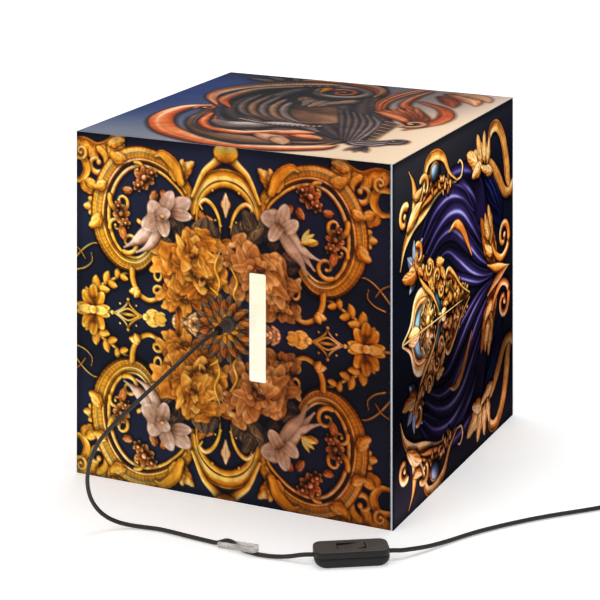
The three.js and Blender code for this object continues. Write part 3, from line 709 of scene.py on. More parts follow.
skirt = lathe("holder_skirt_ribbed", [(17.6, -128.1), (19.4, -128.1), (19.6, -127.8), (19.6, -126.6), (19.6, -125.6)] +
              [(19.6, z) for z in np.linspace(-124.6, -104, 16)] + [(19.6, -102.8), (19.6, -100.4), (19.4, -99.0), (18.9, -97.2), (18.4, -96.2), (17.6, -96.0), (16.7, -96.3),
               (17.0, -97.8), (17.4, -99.2), (17.6, -104.0), (17.6, -116.0)], MAT["white"], 192, M_AXIS, 40, ribs(48, 0.45, -125.6, -102.8, 19.0))
place(skirt, SP, "white_plastic", "holder_skirt")

ring = [(13.62, -120.7)] + [(14.1, z) for z in np.linspace(-120.7, -97.4, 50)] + [(13.62, z) for z in np.linspace(-97.4, -119.9, 50)]


def rolled(a, r, z):
    s = 0.5 - 0.5 * np.cos(2 * np.pi * ((z + 120.7) / 3.6 - a / (2 * np.pi)))
    return r - 0.22 + 0.22 * s


shell_ = lathe("screw_shell_rolled", ring, MAT["brass"], 72, M_AXIS, 60, rolled)
place(shell_, SP, "brass", "screw_shell")

# ---------------------------------------------------------------- bulb
zc_ = np.linspace(-112.2, -95.2, 64)


def cap_thread(a, r, z):
    if r < 11.5 or z < -112.3 or z > -95.1:
        return np.full(len(a), float(r))
    s = 0.5 - 0.5 * np.cos(2 * np.pi * ((z + 112.2) / 3.6 - a / (2 * np.pi)))
    e = min(1.0, (z + 112.3) / 2.5, (-95.1 - z) / 2.5)
    return 12.25 + 0.9 * s * e + 0 * a


bcap = lathe("bulb_cap_e27", [(0, -116.9), (4.9, -116.9), (5.4, -116.7), (7.6, -114.9), (9.6, -113.4), (11.4, -112.7)] + [(12.25, z) for z in zc_] +
             [(12.25, -94.4), (12.1, -93.6), (11.8, -93.4), (0, -93.4)], MAT["nickel"], 96, M_AXIS, 60, cap_thread)
place(bcap, "bulb", "nickel", "bulb_cap")
tip = lathe("bulb_contact_button", [(0, -118.25), (1.6, -118.2), (3.0, -118.0), (4.1, -117.6), (4.6, -117.2), (4.4, -117.15), (0, -117.15)], MAT["brass"], 48)
place(tip, "bulb", "brass", "bulb_contact")


def fins(a, r, z):
    if not (-86.5 < z < -61.5) or r < 14:
        return np.full(len(a), float(r))
    e = min(1.0, (z + 86.5) / 3, (-61.5 - z) / 3)
    return r - 0.5 * e * (0.5 + 0.5 * np.cos(a * 24)) ** 6


col = [(0, -93.1), (12.6, -93.1), (13.2, -92.6), (13.9, -91.2), (15.5, -88.0)] + \
      [(float(np.interp(z, [-88, -76, -68, -60.5], [15.5, 22.0, 25.4, 27.6])), float(z)) for z in np.linspace(-87, -61, 22)] + \
      [(27.75, -60.0), (28.1, -58.4), (28.0, -57.5), (27.4, -57.4), (26.5, -57.4), (26.4, -58.0), (26.4, -59.9), (0, -59.9)]
collar = lathe("bulb_collar_finned", col, MAT["white"], 240, M_AXIS, 35, fins)
place(collar, "bulb", "white_plastic", "bulb_collar")

gl = []
for i in range(33):
    a = math.radians(-62 + 152 * i / 32)
    gl.append((0.0 if i == 32 else 30 * math.cos(a), -30 + 30 * math.sin(a)))
gl[0] = (26.7, -57.1)
gi = []
for i in range(32, -1, -1):
    a = math.radians(-62 + 152 * i / 32)
    gi.append((0.0 if i == 32 else 28.7 * math.cos(a), -30 + 28.7 * math.sin(a)))
gi[-1] = (25.3, -57.1)
# outside from the neck to the crown, then the inside: two shells joined at the neck's rim
prof_out, prof_in = gl, gi


def cup(name, outer, inner, mat, n=96):
    a = np.arange(n) * 2 * np.pi / n
    verts, faces, idx = [], [], []

    def add_ring(r, z):
        s = len(verts)
        verts.extend([(r * math.cos(t), r * math.sin(t), z) for t in a])
        return s
    chain = outer[:-1]
    rows = [add_ring(r, z) for r, z in chain]
    verts.append((0, 0, outer[-1][1]))
    tip_o = len(verts) - 1
    rows_i = [add_ring(r, z) for r, z in inner[1:]]
    verts.append((0, 0, inner[0][1]))
    tip_i = len(verts) - 1
    for j in range(len(rows) - 1):
        for i in range(n):
            k = (i + 1) % n
            faces.append((rows[j] + i, rows[j] + k, rows[j + 1] + k, rows[j + 1] + i))
    for j in range(len(rows_i) - 1):
        for i in range(n):
            k = (i + 1) % n
            faces.append((rows_i[j] + i, rows_i[j] + k, rows_i[j + 1] + k, rows_i[j + 1] + i))
    for i in range(n):
        k = (i + 1) % n
        faces.append((rows[-1] + i, rows[-1] + k, tip_o))
        faces.append((rows_i[0] + k, rows_i[0] + i, tip_i))
        faces.append((rows_i[-1] + i, rows_i[-1] + k, rows[0] + k, rows[0] + i))
    return from_data(name, verts, faces, mat, M_AXIS, 40)


globe = cup("bulb_globe_opal", prof_out, prof_in, MAT["bulb"])
place(globe, "bulb", "opal_bulb", "bulb_globe")

# terminal screws: cheese heads with a cross slot
for side, s in (("line", 1), ("neutral", -1)):
    c0 = Matrix.Translation((s * 0.009, 0, 0)) @ M_AXIS
    scr = lathe(f"terminal_screw_{side}_head", [(0, -130.6), (2.2, -130.6), (2.6, -130.35), (2.8, -129.95), (2.8, -129.2), (1.6, -129.2), (1.55, -124.6), (0, -124.5)], MAT["brass"], 40, c0)
    for ang in (20, 110):
        t = prism("slot_tool", [(-2.6, -0.32), (2.6, -0.32), (2.6, 0.32), (-2.6, 0.32)], -130.75, -130.1, MAT["brass"], c0 @ Matrix.Rotation(math.radians(ang), 4, "Z"))
        boolean(scr, t)
    soften(scr)
    place(scr, SP, "brass", f"terminal_screw_{side}")

# the two cores in the lampholder
for side, s, m in (("line", 1, "brown"), ("neutral", -1, "blue")):
    pts = [(s * 1.1, -137.2, 150), (s * 1.1, -134.0, 150), (s * 2.2, -132.4, 150), (s * 4.2, -131.2, 150), (s * 5.7, -130.2, 150)]
    core = sweep(f"core_{side}", catmull(pts, 0.5), 0.7, MAT[m], 14)
    place(core, SP, "wire_brown" if s > 0 else "wire_blue", f"{side}_core")

# ---------------------------------------------------------------- cord adjuster
A_ADJ = Matrix.Translation((ADJ["x"] * MM, ADJ["y"] * MM, (ADJ["z0"] + 0.2) * MM)) @ Matrix.Rotation(math.radians(ADJ["deg"]), 4, "Z") @ \
    Matrix.Rotation(-math.atan2(ADJ["z1"] - ADJ["z0"], ADJ["L"]), 4, "Y")
L_, W_ = ADJ["L"], ADJ["W"]
out_ = [(0.9, -W_ / 2)] + [(L_ - W_ / 2 + W_ / 2 * math.cos(math.radians(a)), W_ / 2 * math.sin(math.radians(a))) for a in range(-90, 91, 9)] + [(0.9, W_ / 2), (0.25, W_ / 2 - 0.3), (0, W_ / 2 - 1.0), (0, -W_ / 2 + 1.0), (0.25, -W_ / 2 + 0.3)]
slot_ = [(L_ - 5.2 + 1.7 * math.cos(math.radians(a)), 1.7 * math.sin(math.radians(a))) for a in range(-90, 91, 15)] + \
        [(L_ - 10.5 + 1.7 * math.cos(math.radians(a)), 1.7 * math.sin(math.radians(a))) for a in range(90, 271, 15)]
adj = prism("cord_adjuster_clear", out_, 0, ADJ["t"], MAT["clear_plastic"], A_ADJ, bevel=0.45, segments=3, holes=[slot_])
d_ = np.linalg.norm(lamp_path - np.array(adj_point(18, 3.2)), axis=1)
near_ = lamp_path[np.where(d_ < 27)[0][0]:np.where(d_ < 27)[0][-1] + 1]
tool = sweep("channel_tool", near_, CORD_R / MM + 0.28, MAT["clear_plastic"], 24)
boolean(adj, tool)
# keep the largest loose piece
bm = bmesh.new()
bm.from_mesh(adj.data)
seen, groups_ = set(), []
for v in bm.verts:
    if v.index in seen:
        continue
    stack, comp = [v], []
    seen.add(v.index)
    while stack:
        w = stack.pop()
        comp.append(w)
        for e in w.link_edges:
            o2 = e.other_vert(w)
            if o2.index not in seen:
                seen.add(o2.index)
                stack.append(o2)
    groups_.append(comp)
groups_.sort(key=len, reverse=True)
bmesh.ops.delete(bm, geom=[v for g in groups_[1:] for v in g], context="VERTS")
bm.to_mesh(adj.data)
bm.free()
soften(adj)
place(adj, SP, "clear_plastic", "cord_adjuster")

# ---------------------------------------------------------------- in-line switch
M_SW = Matrix.Translation((SW["x"] * MM, SW["y"] * MM, 0)) @ Matrix.Rotation(math.radians(SW["deg"]), 4, "Z")


def slab_ring(inset, z, end=None):
    """The switch's outline drawn in by inset at the sides and by end at its two ends."""
    return rrect(SW["L"] - 2 * (inset if end is None else end), SW["W"] - 2 * inset, max(SW["r"] - inset, 0.8), 96, z)


base_rings = [slab_ring(*t) for t in ((12.0, 1.6, 12.0), (3.2, 1.6, 6.4), (2.3, 2.4, 4.6), (2.0, 4.4, 2.2), (2.0, 6.9), (0.62, 6.9), (0.55, 6.72), (0.5, 6.45), (0.1, 6.3), (0.0, 6.1), (0.0, 4.9),
                                      (0.03, 3.7, 0.25), (0.1, 2.6, 0.8), (0.26, 1.5, 1.8), (0.5, 0.8, 2.8), (0.85, 0.3, 3.8), (1.4, 0.04, 5.0), (12.0, 0.0, 12.0))]
v_, f_ = ring_mesh(base_rings, cap0=True, cap1=True)
sw_base = from_data("switch_base_moulding", v_, f_, MAT["black"], M_SW, 32)
cover_rings = [slab_ring(i, z) for i, z in ((2.0, 7.2), (0.62, 7.2), (0.55, 7.35), (0.4, 7.5), (0.08, 7.62), (0.0, 7.8), (0.0, 9.0), (0.05, 10.6), (0.13, 11.5), (0.3, 11.95),
                                            (0.62, 12.27), (1.1, 12.44), (1.8, 12.5))]
recess = [rrect(L, W, r, 96, z) for L, W, r, z in ((24.2, 13.0, 1.9, 12.5), (23.3, 12.1, 1.5, 12.44), (22.9, 11.7, 1.3, 12.2), (22.8, 11.6, 1.2, 11.6), (22.8, 11.6, 1.2, 9.3))]
ceiling = [rrect(26.0, 14.0, 2.0, 96, 9.3), rrect(26.4, 14.4, 2.2, 96, 10.5), slab_ring(2.6, 10.5), slab_ring(2.05, 9.9)]
v_, f_ = ring_mesh(cover_rings + recess + ceiling, closed=True)
sw_cover = from_data("switch_cover_moulding", v_, f_, MAT["black"], M_SW, 32)
for target in (sw_base, sw_cover):
    for s in (-1, 1):
        t_ = lathe("mouth_tool", [(0, -6), (CORD_R / MM + 0.35, -6), (CORD_R / MM + 0.35, 6), (0, 6)], MAT["black"], 28,
                   M_SW @ Matrix.Translation((s * 0.0295, 0, 0.0069)) @ Matrix.Rotation(math.radians(90), 4, "Y"))
        boolean(target, t_)
    soften(target, 32)
place(sw_base, SP, "black_plastic", "switch_base")
place(sw_cover, SP, "black_plastic", "switch_cover")

rk_prof = [(-10.75, -0.4), (-3.2, -1.9), (0, -2.75), (3.2, -1.9), (10.75, -0.4)] + \
          [(x, 1.5 + 0.7 * (abs(x) / 10.75) ** 1.35) for x in np.linspace(10.75, -10.75, 25)]
M_RK = M_SW @ Matrix.Translation((0, 0, 0.0101)) @ Matrix.Rotation(math.radians(-7), 4, "Y") @ Matrix.Rotation(math.radians(90), 4, "X")
rocker = prism("switch_rocker_key", rk_prof, -5.4, 5.4, MAT["black"], M_RK, bevel=0.35, segments=3, angle=40)
place(rocker, "rocker", "black_plastic", "switch_rocker")

# ---------------------------------------------------------------- plug
M_PL = Matrix.Translation((PLUG["x"] * MM, PLUG["y"] * MM, 0)) @ Matrix.Rotation(math.radians(PLUG["deg"]), 4, "Z")
half_ = catmull([(-19, 3.3, 0), (-15.5, 3.9, 0), (-11, 5.6, 0), (-7, 9.6, 0), (-3.2, 13.9, 0), (1.5, 16.6, 0), (7, 17.55, 0), (12, 17.55, 0), (15.2, 17.4, 0), (16.7, 16.4, 0), (17, 15, 0)], 1.4)[:, :2]
outline_ = [(float(x), float(-y)) for x, y in half_] + [(float(x), float(y)) for x, y in half_[::-1]]
plug = prism("plug_body_moulding", outline_, 0.1, 13.5, MAT["black"], M_PL, bevel=2.2, segments=5, angle=50)
for i in range(5):
    x0 = -4.5 + i * 3.1
    for z0, z1 in ((12.9, 14.5), (-1.0, 0.7)):
        w = 8.4 + i * 1.3
        g = prism("groove_tool", [(x0 - 0.55, -w), (x0 + 0.55, -w), (x0 + 0.55, w), (x0 - 0.55, w)], z0, z1, MAT["black"], M_PL, bevel=0.25, segments=2)
        boolean(plug, g)
soften(plug, 30)
place(plug, SP, "black_plastic", "plug_body")
for side, y in (("line", 9.3), ("neutral", -9.3)):
    m_ = M_PL @ Matrix.Translation((0, y * MM, 0.0068)) @ Matrix.Rotation(math.radians(90), 4, "Y")
    pin = lathe(f"plug_pin_{side}_sleeved", [(0, 17.3), (1.95, 17.3), (1.95, 27.2), (1.9, 27.35), (1.98, 27.5), (2.0, 28), (2.0, 34.6), (1.8, 35.5), (1.3, 36.1), (0.7, 36.35), (0, 36.4)],
                [MAT["nickel"], MAT["black"]], 40, m_)
    inv = m_.inverted()
    for p in pin.data.polygons:
        if (inv @ p.center).z < 0.0273:
            p.material_index = 1
    place(pin, SP, "nickel", f"plug_pin_{side}")
rel = [(2.1, -38.0), (2.75, -38.0), (2.95, -37.6)]
for i in range(6):
    z = -36.4 + i * 2.7
    R = 2.95 + (4.2 - 2.95) * (i + 0.5) / 6
    rel += [(R, z - 0.85), (R + 0.05, z + 0.4), (R - 0.75, z + 0.6), (R - 0.75, z + 1.25), (R + 0.1, z + 1.45)]
rel += [(4.2, -20.3), (4.2, -19.3), (2.1, -19.3)]
m_ = M_PL @ Matrix.Translation((0, 0, 0.0068)) @ Matrix.Rotation(math.radians(90), 4, "Y")
relief = lathe("plug_strain_relief_ribbed", rel, MAT["black"], 56, m_, 35)
place(relief, SP, "black_plastic", "plug_strain_relief")

# ---------------------------------------------------------------- coil tie
tie_c = math.radians(-100)
loop = rrect(2 * 7.35, 14.0, 3.4, 64, 0.0)


def tie_mesh():
    """A band 6 mm wide and 0.9 mm thick round the coil's section, flat where it lies on the floor."""
    ring_in = rrect(2 * 6.75, 11.8, 3.0, 64, 0.0)
    ring_out = rrect(2 * 7.55, 12.95, 3.6, 64, 0.0)
    verts, faces = [], []
    n = len(ring_in)
    zoff = 6.475
    ws = (-3.0, -2.8, 2.8, 3.0)
    rows = []
    for w, k in ((-2.9, 0), (-3.0, 1), (3.0, 1), (2.9, 0)):
        pass
    prof = [(-3.0, 0.0), (-3.0, 0.75), (-2.75, 1.0), (2.75, 1.0), (3.0, 0.75), (3.0, 0.0)]
    for w, f in prof:
        r = ring_in * (1 - f) + ring_out * f
        rows.append(np.stack([r[:, 0], np.full(n, w), r[:, 1] + zoff], 1))
    return ring_mesh(rows, closed=True)


v_, f_ = tie_mesh()
M_TIE = Matrix.Translation((COIL[0] * MM, COIL[1] * MM, 0)) @ Matrix.Rotation(tie_c, 4, "Z") @ Matrix.Translation((0.026, 0, 0))
tie = from_data("coil_tie_strap", v_, f_, MAT["tie"], M_TIE, 40)
place(tie, SP, "tie_fabric", "coil_tie")

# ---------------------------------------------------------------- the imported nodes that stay
KEEP = {
    "right_panel": "opal", "rear_panel": "opal", "left_panel": "opal", "top_panel": "opal", "bottom_panel": "opal", "cord_panel": "opal",
    "panel_nut": "zinc", "holder_nut": "zinc", "panel_washer": "zinc", "holder_insulator": "white", "centre_contact": "brass", "led_board": "led",
    "contact_lamp_side": "brass", "contact_mains_side": "brass", "neutral_link": "blue",
}
for n in list(cad):
    if n.startswith("block_"):
        KEEP[n] = "clear"
    elif n.startswith("magnet_"):
        KEEP[n] = "nickel"
    elif n.startswith("steel_disc"):
        KEEP[n] = "zinc"
for n, m in KEEP.items():
    o = cad[n]
    for s in o.material_slots:
        s.link = "OBJECT"
        s.material = MAT[m]
    if not o.material_slots:
        o.data.materials.append(None)
        o.material_slots[0].link = "OBJECT"
        o.material_slots[0].material = MAT[m]
    bv = o.modifiers.new("edge", "BEVEL")
    bv.width = 0.0002
    bv.segments = 2
    bv.limit_method = "ANGLE"
    bv.angle_limit = math.radians(35)

# ---- drawing kit for the printed ornament: strokes and shapes computed on a grid ----

F32 = np.float32


class Canvas:
    """A grid of colours, 0 to 1, over x to the right and y down; k samples per unit."""

    def __init__(self, k, w=1.0, h=1.0, x0=0.0, y0=0.0):
        self.k = k
        self.x0, self.y0 = x0, y0
        self.w, self.h = int(round(w * k)), int(round(h * k))
        self.rgb = np.zeros((self.h, self.w, 3), F32)
        self.xs = ((np.arange(self.w) + 0.5) / k + x0).astype(F32)
        self.ys = ((np.arange(self.h) + 0.5) / k + y0).astype(F32)
        self.carve = 0.0        # how deep the chiselled texture is
        self.shade = 0.0        # how dark a shape's shadow on what lies below it
        self.reach = 0.009      # how far that shadow reaches
        r = np.random.RandomState(41)
        n0 = vnoise(self.h, self.w, h * 16, 11, r)
        n1 = vnoise(self.h, self.w, h * 34, 31, r, (n0 * 0.9, -n0 * 0.7))
        n2 = vnoise(self.h, self.w, h * 74, 62, r, (n1 * 0.8, n0))
        n3 = vnoise(self.h, self.w, h * 150, 17, r)
        self.tex = (n1 * 0.62 + (0.5 - 1.6 * np.abs(n2)) * 0.42 + n3 * 0.22).astype(F32)

    def win(self, x0, y0, x1, y1):
        i0 = max(0, int(np.floor((x0 - self.x0) * self.k)))
        i1 = min(self.w, int(np.ceil((x1 - self.x0) * self.k)) + 1)
        j0 = max(0, int(np.floor((y0 - self.y0) * self.k)))
        j1 = min(self.h, int(np.ceil((y1 - self.y0) * self.k)) + 1)
        if i1 <= i0 or j1 <= j0:
            return None
        return j0, j1, i0, i1

    def over(self, box, alpha, rgb):
        j0, j1, i0, i1 = box
        a = alpha[..., None]
        if self.carve:
            t = self.tex[j0:j1, i0:i1, None] * F32(self.carve)
            rgb = np.clip(rgb, 0.0, 1.0) ** (1 + 0.16 * t) * (1 - 0.30 * t)
        self.rgb[j0:j1, i0:i1] = self.rgb[j0:j1, i0:i1] * (1 - a) + rgb * a


    def drop(self, box, far):
        """The soft shadow of a shape: far is how far each point is outside it, in units."""
        if not self.shade:
            return
        j0, j1, i0, i1 = box
        s = np.clip(1 - far / self.reach, 0, 1)
        s = (s * s * (3 - 2 * s)).astype(F32) * F32(self.shade)
        dx, dy = int(round(0.0028 * self.k)), int(round(0.0042 * self.k))
        o = np.zeros_like(s)
        if s.shape[0] > dy and s.shape[1] > dx:
            o[dy:, dx:] = s[:s.shape[0] - dy, :s.shape[1] - dx]
        self.rgb[j0:j1, i0:i1] *= 1 - o[..., None]


def vnoise(h, w, cells, ang, r, warp=None):
    """Smooth value noise from -1 to 1, cells per grid height, turned by ang degrees."""
    g = (r.rand(64, 64) * 2 - 1).astype(F32)
    ca, sa = np.cos(np.radians(ang)), np.sin(np.radians(ang))
    yy, xx = np.mgrid[0:h, 0:w].astype(F32) * F32(cells / h)
    if warp is not None:
        yy, xx = yy + warp[0], xx + warp[1]
    u, v = xx * ca - yy * sa + 40.0, xx * sa + yy * ca + 40.0
    i, j = np.floor(v).astype(int), np.floor(u).astype(int)
    fy, fx = (v - i).astype(F32), (u - j).astype(F32)
    fy, fx = fy * fy * (3 - 2 * fy), fx * fx * (3 - 2 * fx)
    a, b = g[i % 64, j % 64], g[i % 64, (j + 1) % 64]
    c_, d = g[(i + 1) % 64, j % 64], g[(i + 1) % 64, (j + 1) % 64]
    return (a * (1 - fx) + b * fx) * (1 - fy) + (c_ * (1 - fx) + d * fx) * fy


def smooth(a, b, x):
    t = np.clip((x - a) / (b - a), 0, 1)
    return t * t * (3 - 2 * t)


def hexes(*rows):
    """A colour ramp: rows of position, r, g, b (0 to 255)."""
    r = np.array(rows, float)
    return r[:, 0], r[:, 1:] / 255.0


def ramp(pal, v):
    pos, col = pal
    return np.stack([np.interp(v, pos, col[:, i]) for i in range(3)], -1).astype(F32)


GOLD = hexes((-0.7, 44, 20, 8), (-0.2, 108, 54, 12), (0.15, 168, 92, 16), (0.42, 212, 132, 24),
             (0.62, 230, 158, 38), (0.82, 244, 192, 66), (1.0, 252, 220, 118), (1.25, 255, 242, 186))
COPPER = hexes((-0.7, 30, 14, 10), (-0.2, 78, 36, 14), (0.15, 128, 62, 18), (0.42, 172, 90, 28),
               (0.62, 198, 118, 44), (0.8, 222, 156, 80), (0.97, 250, 214, 150))
CREAM = hexes((-0.7, 66, 36, 22), (-0.2, 132, 88, 58), (0.2, 176, 130, 94), (0.5, 198, 156, 120),
              (0.75, 214, 178, 144), (1.0, 232, 204, 172))
PEONY = hexes((-0.6, 44, 22, 12), (-0.15, 102, 50, 12), (0.12, 154, 82, 18), (0.36, 192, 108, 26),
              (0.6, 214, 134, 38), (0.85, 234, 164, 62), (1.1, 250, 200, 112))
RUSTY = hexes((-0.6, 34, 18, 14), (-0.15, 80, 39, 16), (0.12, 126, 66, 24), (0.36, 160, 88, 34),
              (0.6, 184, 108, 46), (0.85, 206, 136, 68), (1.1, 226, 172, 108))
LEAFDK = hexes((-0.6, 14, 14, 18), (0.1, 34, 28, 26), (0.5, 62, 46, 34), (0.8, 98, 72, 46), (1.0, 150, 108, 62))
SILK = hexes((-0.9, 8, 8, 18), (-0.3, 22, 18, 38), (0.1, 42, 31, 68), (0.45, 64, 52, 102), (0.7, 98, 90, 148),
             (0.9, 146, 144, 198), (1.1, 206, 208, 236))
BLUE = hexes((-0.8, 8, 10, 22), (-0.2, 18, 22, 50), (0.3, 36, 44, 92), (0.7, 72, 84, 146), (1.0, 150, 164, 214))
LIGHT = np.array([-0.42, -0.66, 0.62])


def cr(points, n=None, closed=False):
    """A smooth curve through the points."""
    p = np.asarray(points, float)
    if closed:
        p = np.vstack([p[-1], p, p[0], p[1]])
    else:
        p = np.vstack([2 * p[0] - p[1], p, 2 * p[-1] - p[-2]])
    if n is None:
        n = 9
    out = []
    t = np.linspace(0, 1, n, endpoint=False)[:, None]
    for i in range(1, len(p) - 2):
        a, b, c, d = p[i - 1], p[i], p[i + 1], p[i + 2]
        out.append(0.5 * (2 * b + (c - a) * t + (2 * a - 5 * b + 4 * c - d) * t ** 2 + (3 * b - a - 3 * c + d) * t ** 3))
    out.append(p[-2][None])
    return np.vstack(out)


def spiral(cx, cy, r0, r1, a0, a1, n=40, sx=1.0, sy=1.0, power=1.0):
    t = np.linspace(0, 1, n)
    r = r0 + (r1 - r0) * t ** power
    a = np.radians(a0 + (a1 - a0) * t)
    return np.stack([cx + sx * r * np.cos(a), cy + sy * r * np.sin(a)], 1)


def ribbon(c, P, w, shade, opacity=1.0):
    """A stroke of half width w along P; shade(x, s, tx, ty) colours it, x across from -1 to 1, s along from 0 to 1."""
    P = np.asarray(P, float)
    keep = np.r_[True, np.hypot(*np.diff(P, axis=0).T) > 1e-6]
    w = np.broadcast_to(np.asarray(w, float), (len(P),))[keep]
    P = P[keep]
    n = len(P)
    if n < 2:
        return
    seg = np.diff(P, axis=0)
    L = np.hypot(seg[:, 0], seg[:, 1])
    cum = np.r_[0, np.cumsum(L)]
    tang = seg / L[:, None]
    vt = np.vstack([tang[0], tang[:-1] + tang[1:], tang[-1]])
    vt /= np.maximum(np.hypot(vt[:, 0], vt[:, 1]), 1e-6)[:, None]
    sh = (c.reach + 0.004) if c.shade else 0.0
    pad = w.max() + 1.5 / c.k + sh
    box = c.win(P[:, 0].min() - pad, P[:, 1].min() - pad, P[:, 0].max() + pad, P[:, 1].max() + pad)
    if box is None:
        return
    j0, j1, i0, i1 = box
    shape = (j1 - j0, i1 - i0)
    best = np.full(shape, 9.0, F32)
    S = np.zeros(shape, F32)
    X = np.zeros(shape, F32)
    TX = np.zeros(shape, F32)
    TY = np.zeros(shape, F32)
    WW = np.full(shape, 1e-4, F32)
    FAR = np.full(shape, 9.0, F32)
    for i in range(n - 1):
        a, b = P[i], P[i + 1]
        pd = max(w[i], w[i + 1]) + 1.5 / c.k + sh
        lb = c.win(min(a[0], b[0]) - pd, min(a[1], b[1]) - pd, max(a[0], b[0]) + pd, max(a[1], b[1]) + pd)
        if lb is None:
            continue
        sl = (slice(lb[0] - j0, lb[1] - j0), slice(lb[2] - i0, lb[3] - i0))
        x = c.xs[lb[2]:lb[3]][None, :] - F32(a[0])
        y = c.ys[lb[0]:lb[1]][:, None] - F32(a[1])
        d = tang[i]
        t = np.clip(x * d[0] + y * d[1], 0, L[i])
        ex = x - t * d[0]
        ey = y - t * d[1]
        ww = np.maximum(w[i] + (w[i + 1] - w[i]) * (t / L[i]), 1e-5)
        q = np.sqrt(ex * ex + ey * ey)
        if sh:
            FAR[sl] = np.minimum(FAR[sl], q - ww)
        q = q / ww
        m = q < best[sl]
        f = t / L[i]
        best[sl] = np.where(m, q, best[sl])
        side = np.where(x * d[1] - y * d[0] >= 0, 1.0, -1.0)
        X[sl] = np.where(m, q * side, X[sl])
        S[sl] = np.where(m, (cum[i] + t) / cum[-1], S[sl])
        TX[sl] = np.where(m, vt[i, 0] + (vt[i + 1, 0] - vt[i, 0]) * f, TX[sl])
        TY[sl] = np.where(m, vt[i, 1] + (vt[i + 1, 1] - vt[i, 1]) * f, TY[sl])
        WW[sl] = np.where(m, ww, WW[sl])
    alpha = np.clip((1 - best) * WW * c.k + 0.5, 0, 1) * opacity
    if alpha.max() <= 0:
        return
    if sh and opacity >= 1:
        c.drop(box, FAR)
    c.over(box, alpha.astype(F32), shade(np.clip(X, -1, 1), S, TX, TY))


def lit(nx, tx, ty):
    nz = np.sqrt(np.clip(1 - nx * nx, 0, 1))
    return nx * (ty * LIGHT[0] - tx * LIGHT[1]) + nz * LIGHT[2]


def metal(pal, kind="round", edge=0.7, gain=1.0, hatch=0.0, freq=60, lift=0.0):
    def f(x, s, tx, ty):
        ax = np.abs(x)
        if kind == "round":
            nx = x * 0.96
        elif kind == "band":
            rim = np.clip((ax - 0.84) / 0.16, -1, 1) * np.sign(x)
            nx = np.where(ax > 0.68, rim * 0.95, -x * 0.75)
        elif kind == "ridges":
            nx = 0.85 * np.sin(x * 8.6)
        elif kind == "crest":
            nx = np.where(x > 0.1, x * 0.9, (x - 0.1) * 0.75)
        else:
            nx = x
        v = lit(nx, tx, ty) * gain + lift
        v = 0.30 + (v - 0.30) * 1.30 + 0.20 * np.exp(-((x + 0.3) / 0.15) ** 2) - 0.14
        if hatch:
            v = v + hatch * np.sin(s * freq * 6.283 + ax * 3)
        if edge:
            v = v - edge * smooth(0.8, 1.0, ax)
        return ramp(pal, v)
    return f


def veins(pal, n=9, depth=0.28, gain=1.0, lift=0.0, edge=0.55):
    def f(x, s, tx, ty):
        ax = np.abs(x)
        nx = x * 0.75 + 0.0
        v = lit(nx, tx, ty) * gain + lift
        v = v + 0.72 * depth * np.sin((s * n - ax * 1.8) * 6.283) * smooth(0.02, 0.3, ax)
        v = v + 0.3 * np.exp(-(ax / 0.1) ** 2)
        v = v - 0.35 * (1 - smooth(0.0, 0.18, s)) - edge * smooth(0.8, 1.0, ax)
        return ramp(pal, v)
    return f


def taper(n, a, b, c_, peak=0.4):
    """Half widths that grow from a to b at peak and fall to c_."""
    t = np.linspace(0, 1, n)
    up = smooth(0, peak, t)
    dn = smooth(peak, 1, t)
    return np.where(t < peak, a + (b - a) * up, b + (c_ - b) * dn)


def leaf(c, p, ang, length, width, curl=40.0, pal=GOLD, lift=0.0, n=16, lobes=3, depth=0.26):
    """A curling leaf from p towards ang (degrees), bending by curl, with a lobed edge."""
    t = np.linspace(0, 1, n)
    a = np.radians(ang + curl * t ** 1.3)
    d = length / (n - 1)
    P = np.vstack([[0, 0], np.cumsum(np.stack([np.cos(a[:-1]), np.sin(a[:-1])], 1) * d, axis=0)]) + np.asarray(p)
    w = width * np.sin(np.pi * np.clip(t * 0.93 + 0.07, 0, 1) ** 0.72) ** 0.85
    w = w * (1 + 0.16 * np.cos(t * lobes * 6.283 + 2.4)) + 0.0006
    w[-1] = 0.0004
    ribbon(c, P, w, veins(pal, n=lobes * 2.2, lift=lift, depth=depth))
    return P


def blob(c, cx, cy, a, b, ang, f, scallop=0.0, ns=5, phase=0.0, opacity=1.0):
    m = max(a, b) * (1 + abs(scallop)) + 2 / c.k + ((c.reach + 0.004) if c.shade else 0.0)
    box = c.win(cx - m, cy - m, cx + m, cy + m)
    if box is None:
        return
    j0, j1, i0, i1 = box
    x = c.xs[i0:i1][None, :] - cx
    y = c.ys[j0:j1][:, None] - cy
    ca, sa = np.cos(np.radians(ang)), np.sin(np.radians(ang))
    u = (x * ca + y * sa) / a
    v = (-x * sa + y * ca) / b
    th = np.arctan2(v, u)
    R = 1 + scallop * np.cos(ns * th + phase)
    r = np.hypot(u, v) / R
    alpha = np.clip((1 - r) * min(a, b) * c.k + 0.5, 0, 1) * opacity
    if opacity >= 1:
        c.drop(box, (r - 1) * min(a, b))
    c.over(box, alpha.astype(F32), f(u / R, v / R, r, th))


def petal(pal, lift=0.0, folds=3.0, seed=0.0, rim=0.34, base=0.6):
    def f(u, v, r, th):
        val = 0.28 + 0.34 * u + lift
        val = val + 0.13 * np.sin(v * folds * 3.1 + seed + u * 1.7) + 0.06 * np.sin(v * folds * 7 + seed * 3)
        val = val + rim * np.exp(-((r - 0.87) / 0.07) ** 2) * (0.35 + 0.65 * smooth(-0.2, 0.7, u))
        val = val - base * smooth(0.2, 1.0, -u) - 0.5 * smooth(0.92, 1.0, r)
        return ramp(pal, val)
    return f


def dome(pal, lift=0.0, edge=0.6):
    def f(u, v, r, th):
        nz = np.sqrt(np.clip(1 - r * r, 0, 1))
        val = u * LIGHT[0] + v * LIGHT[1] + nz * LIGHT[2] + lift
        return ramp(pal, val - edge * smooth(0.85, 1.0, r))
    return f


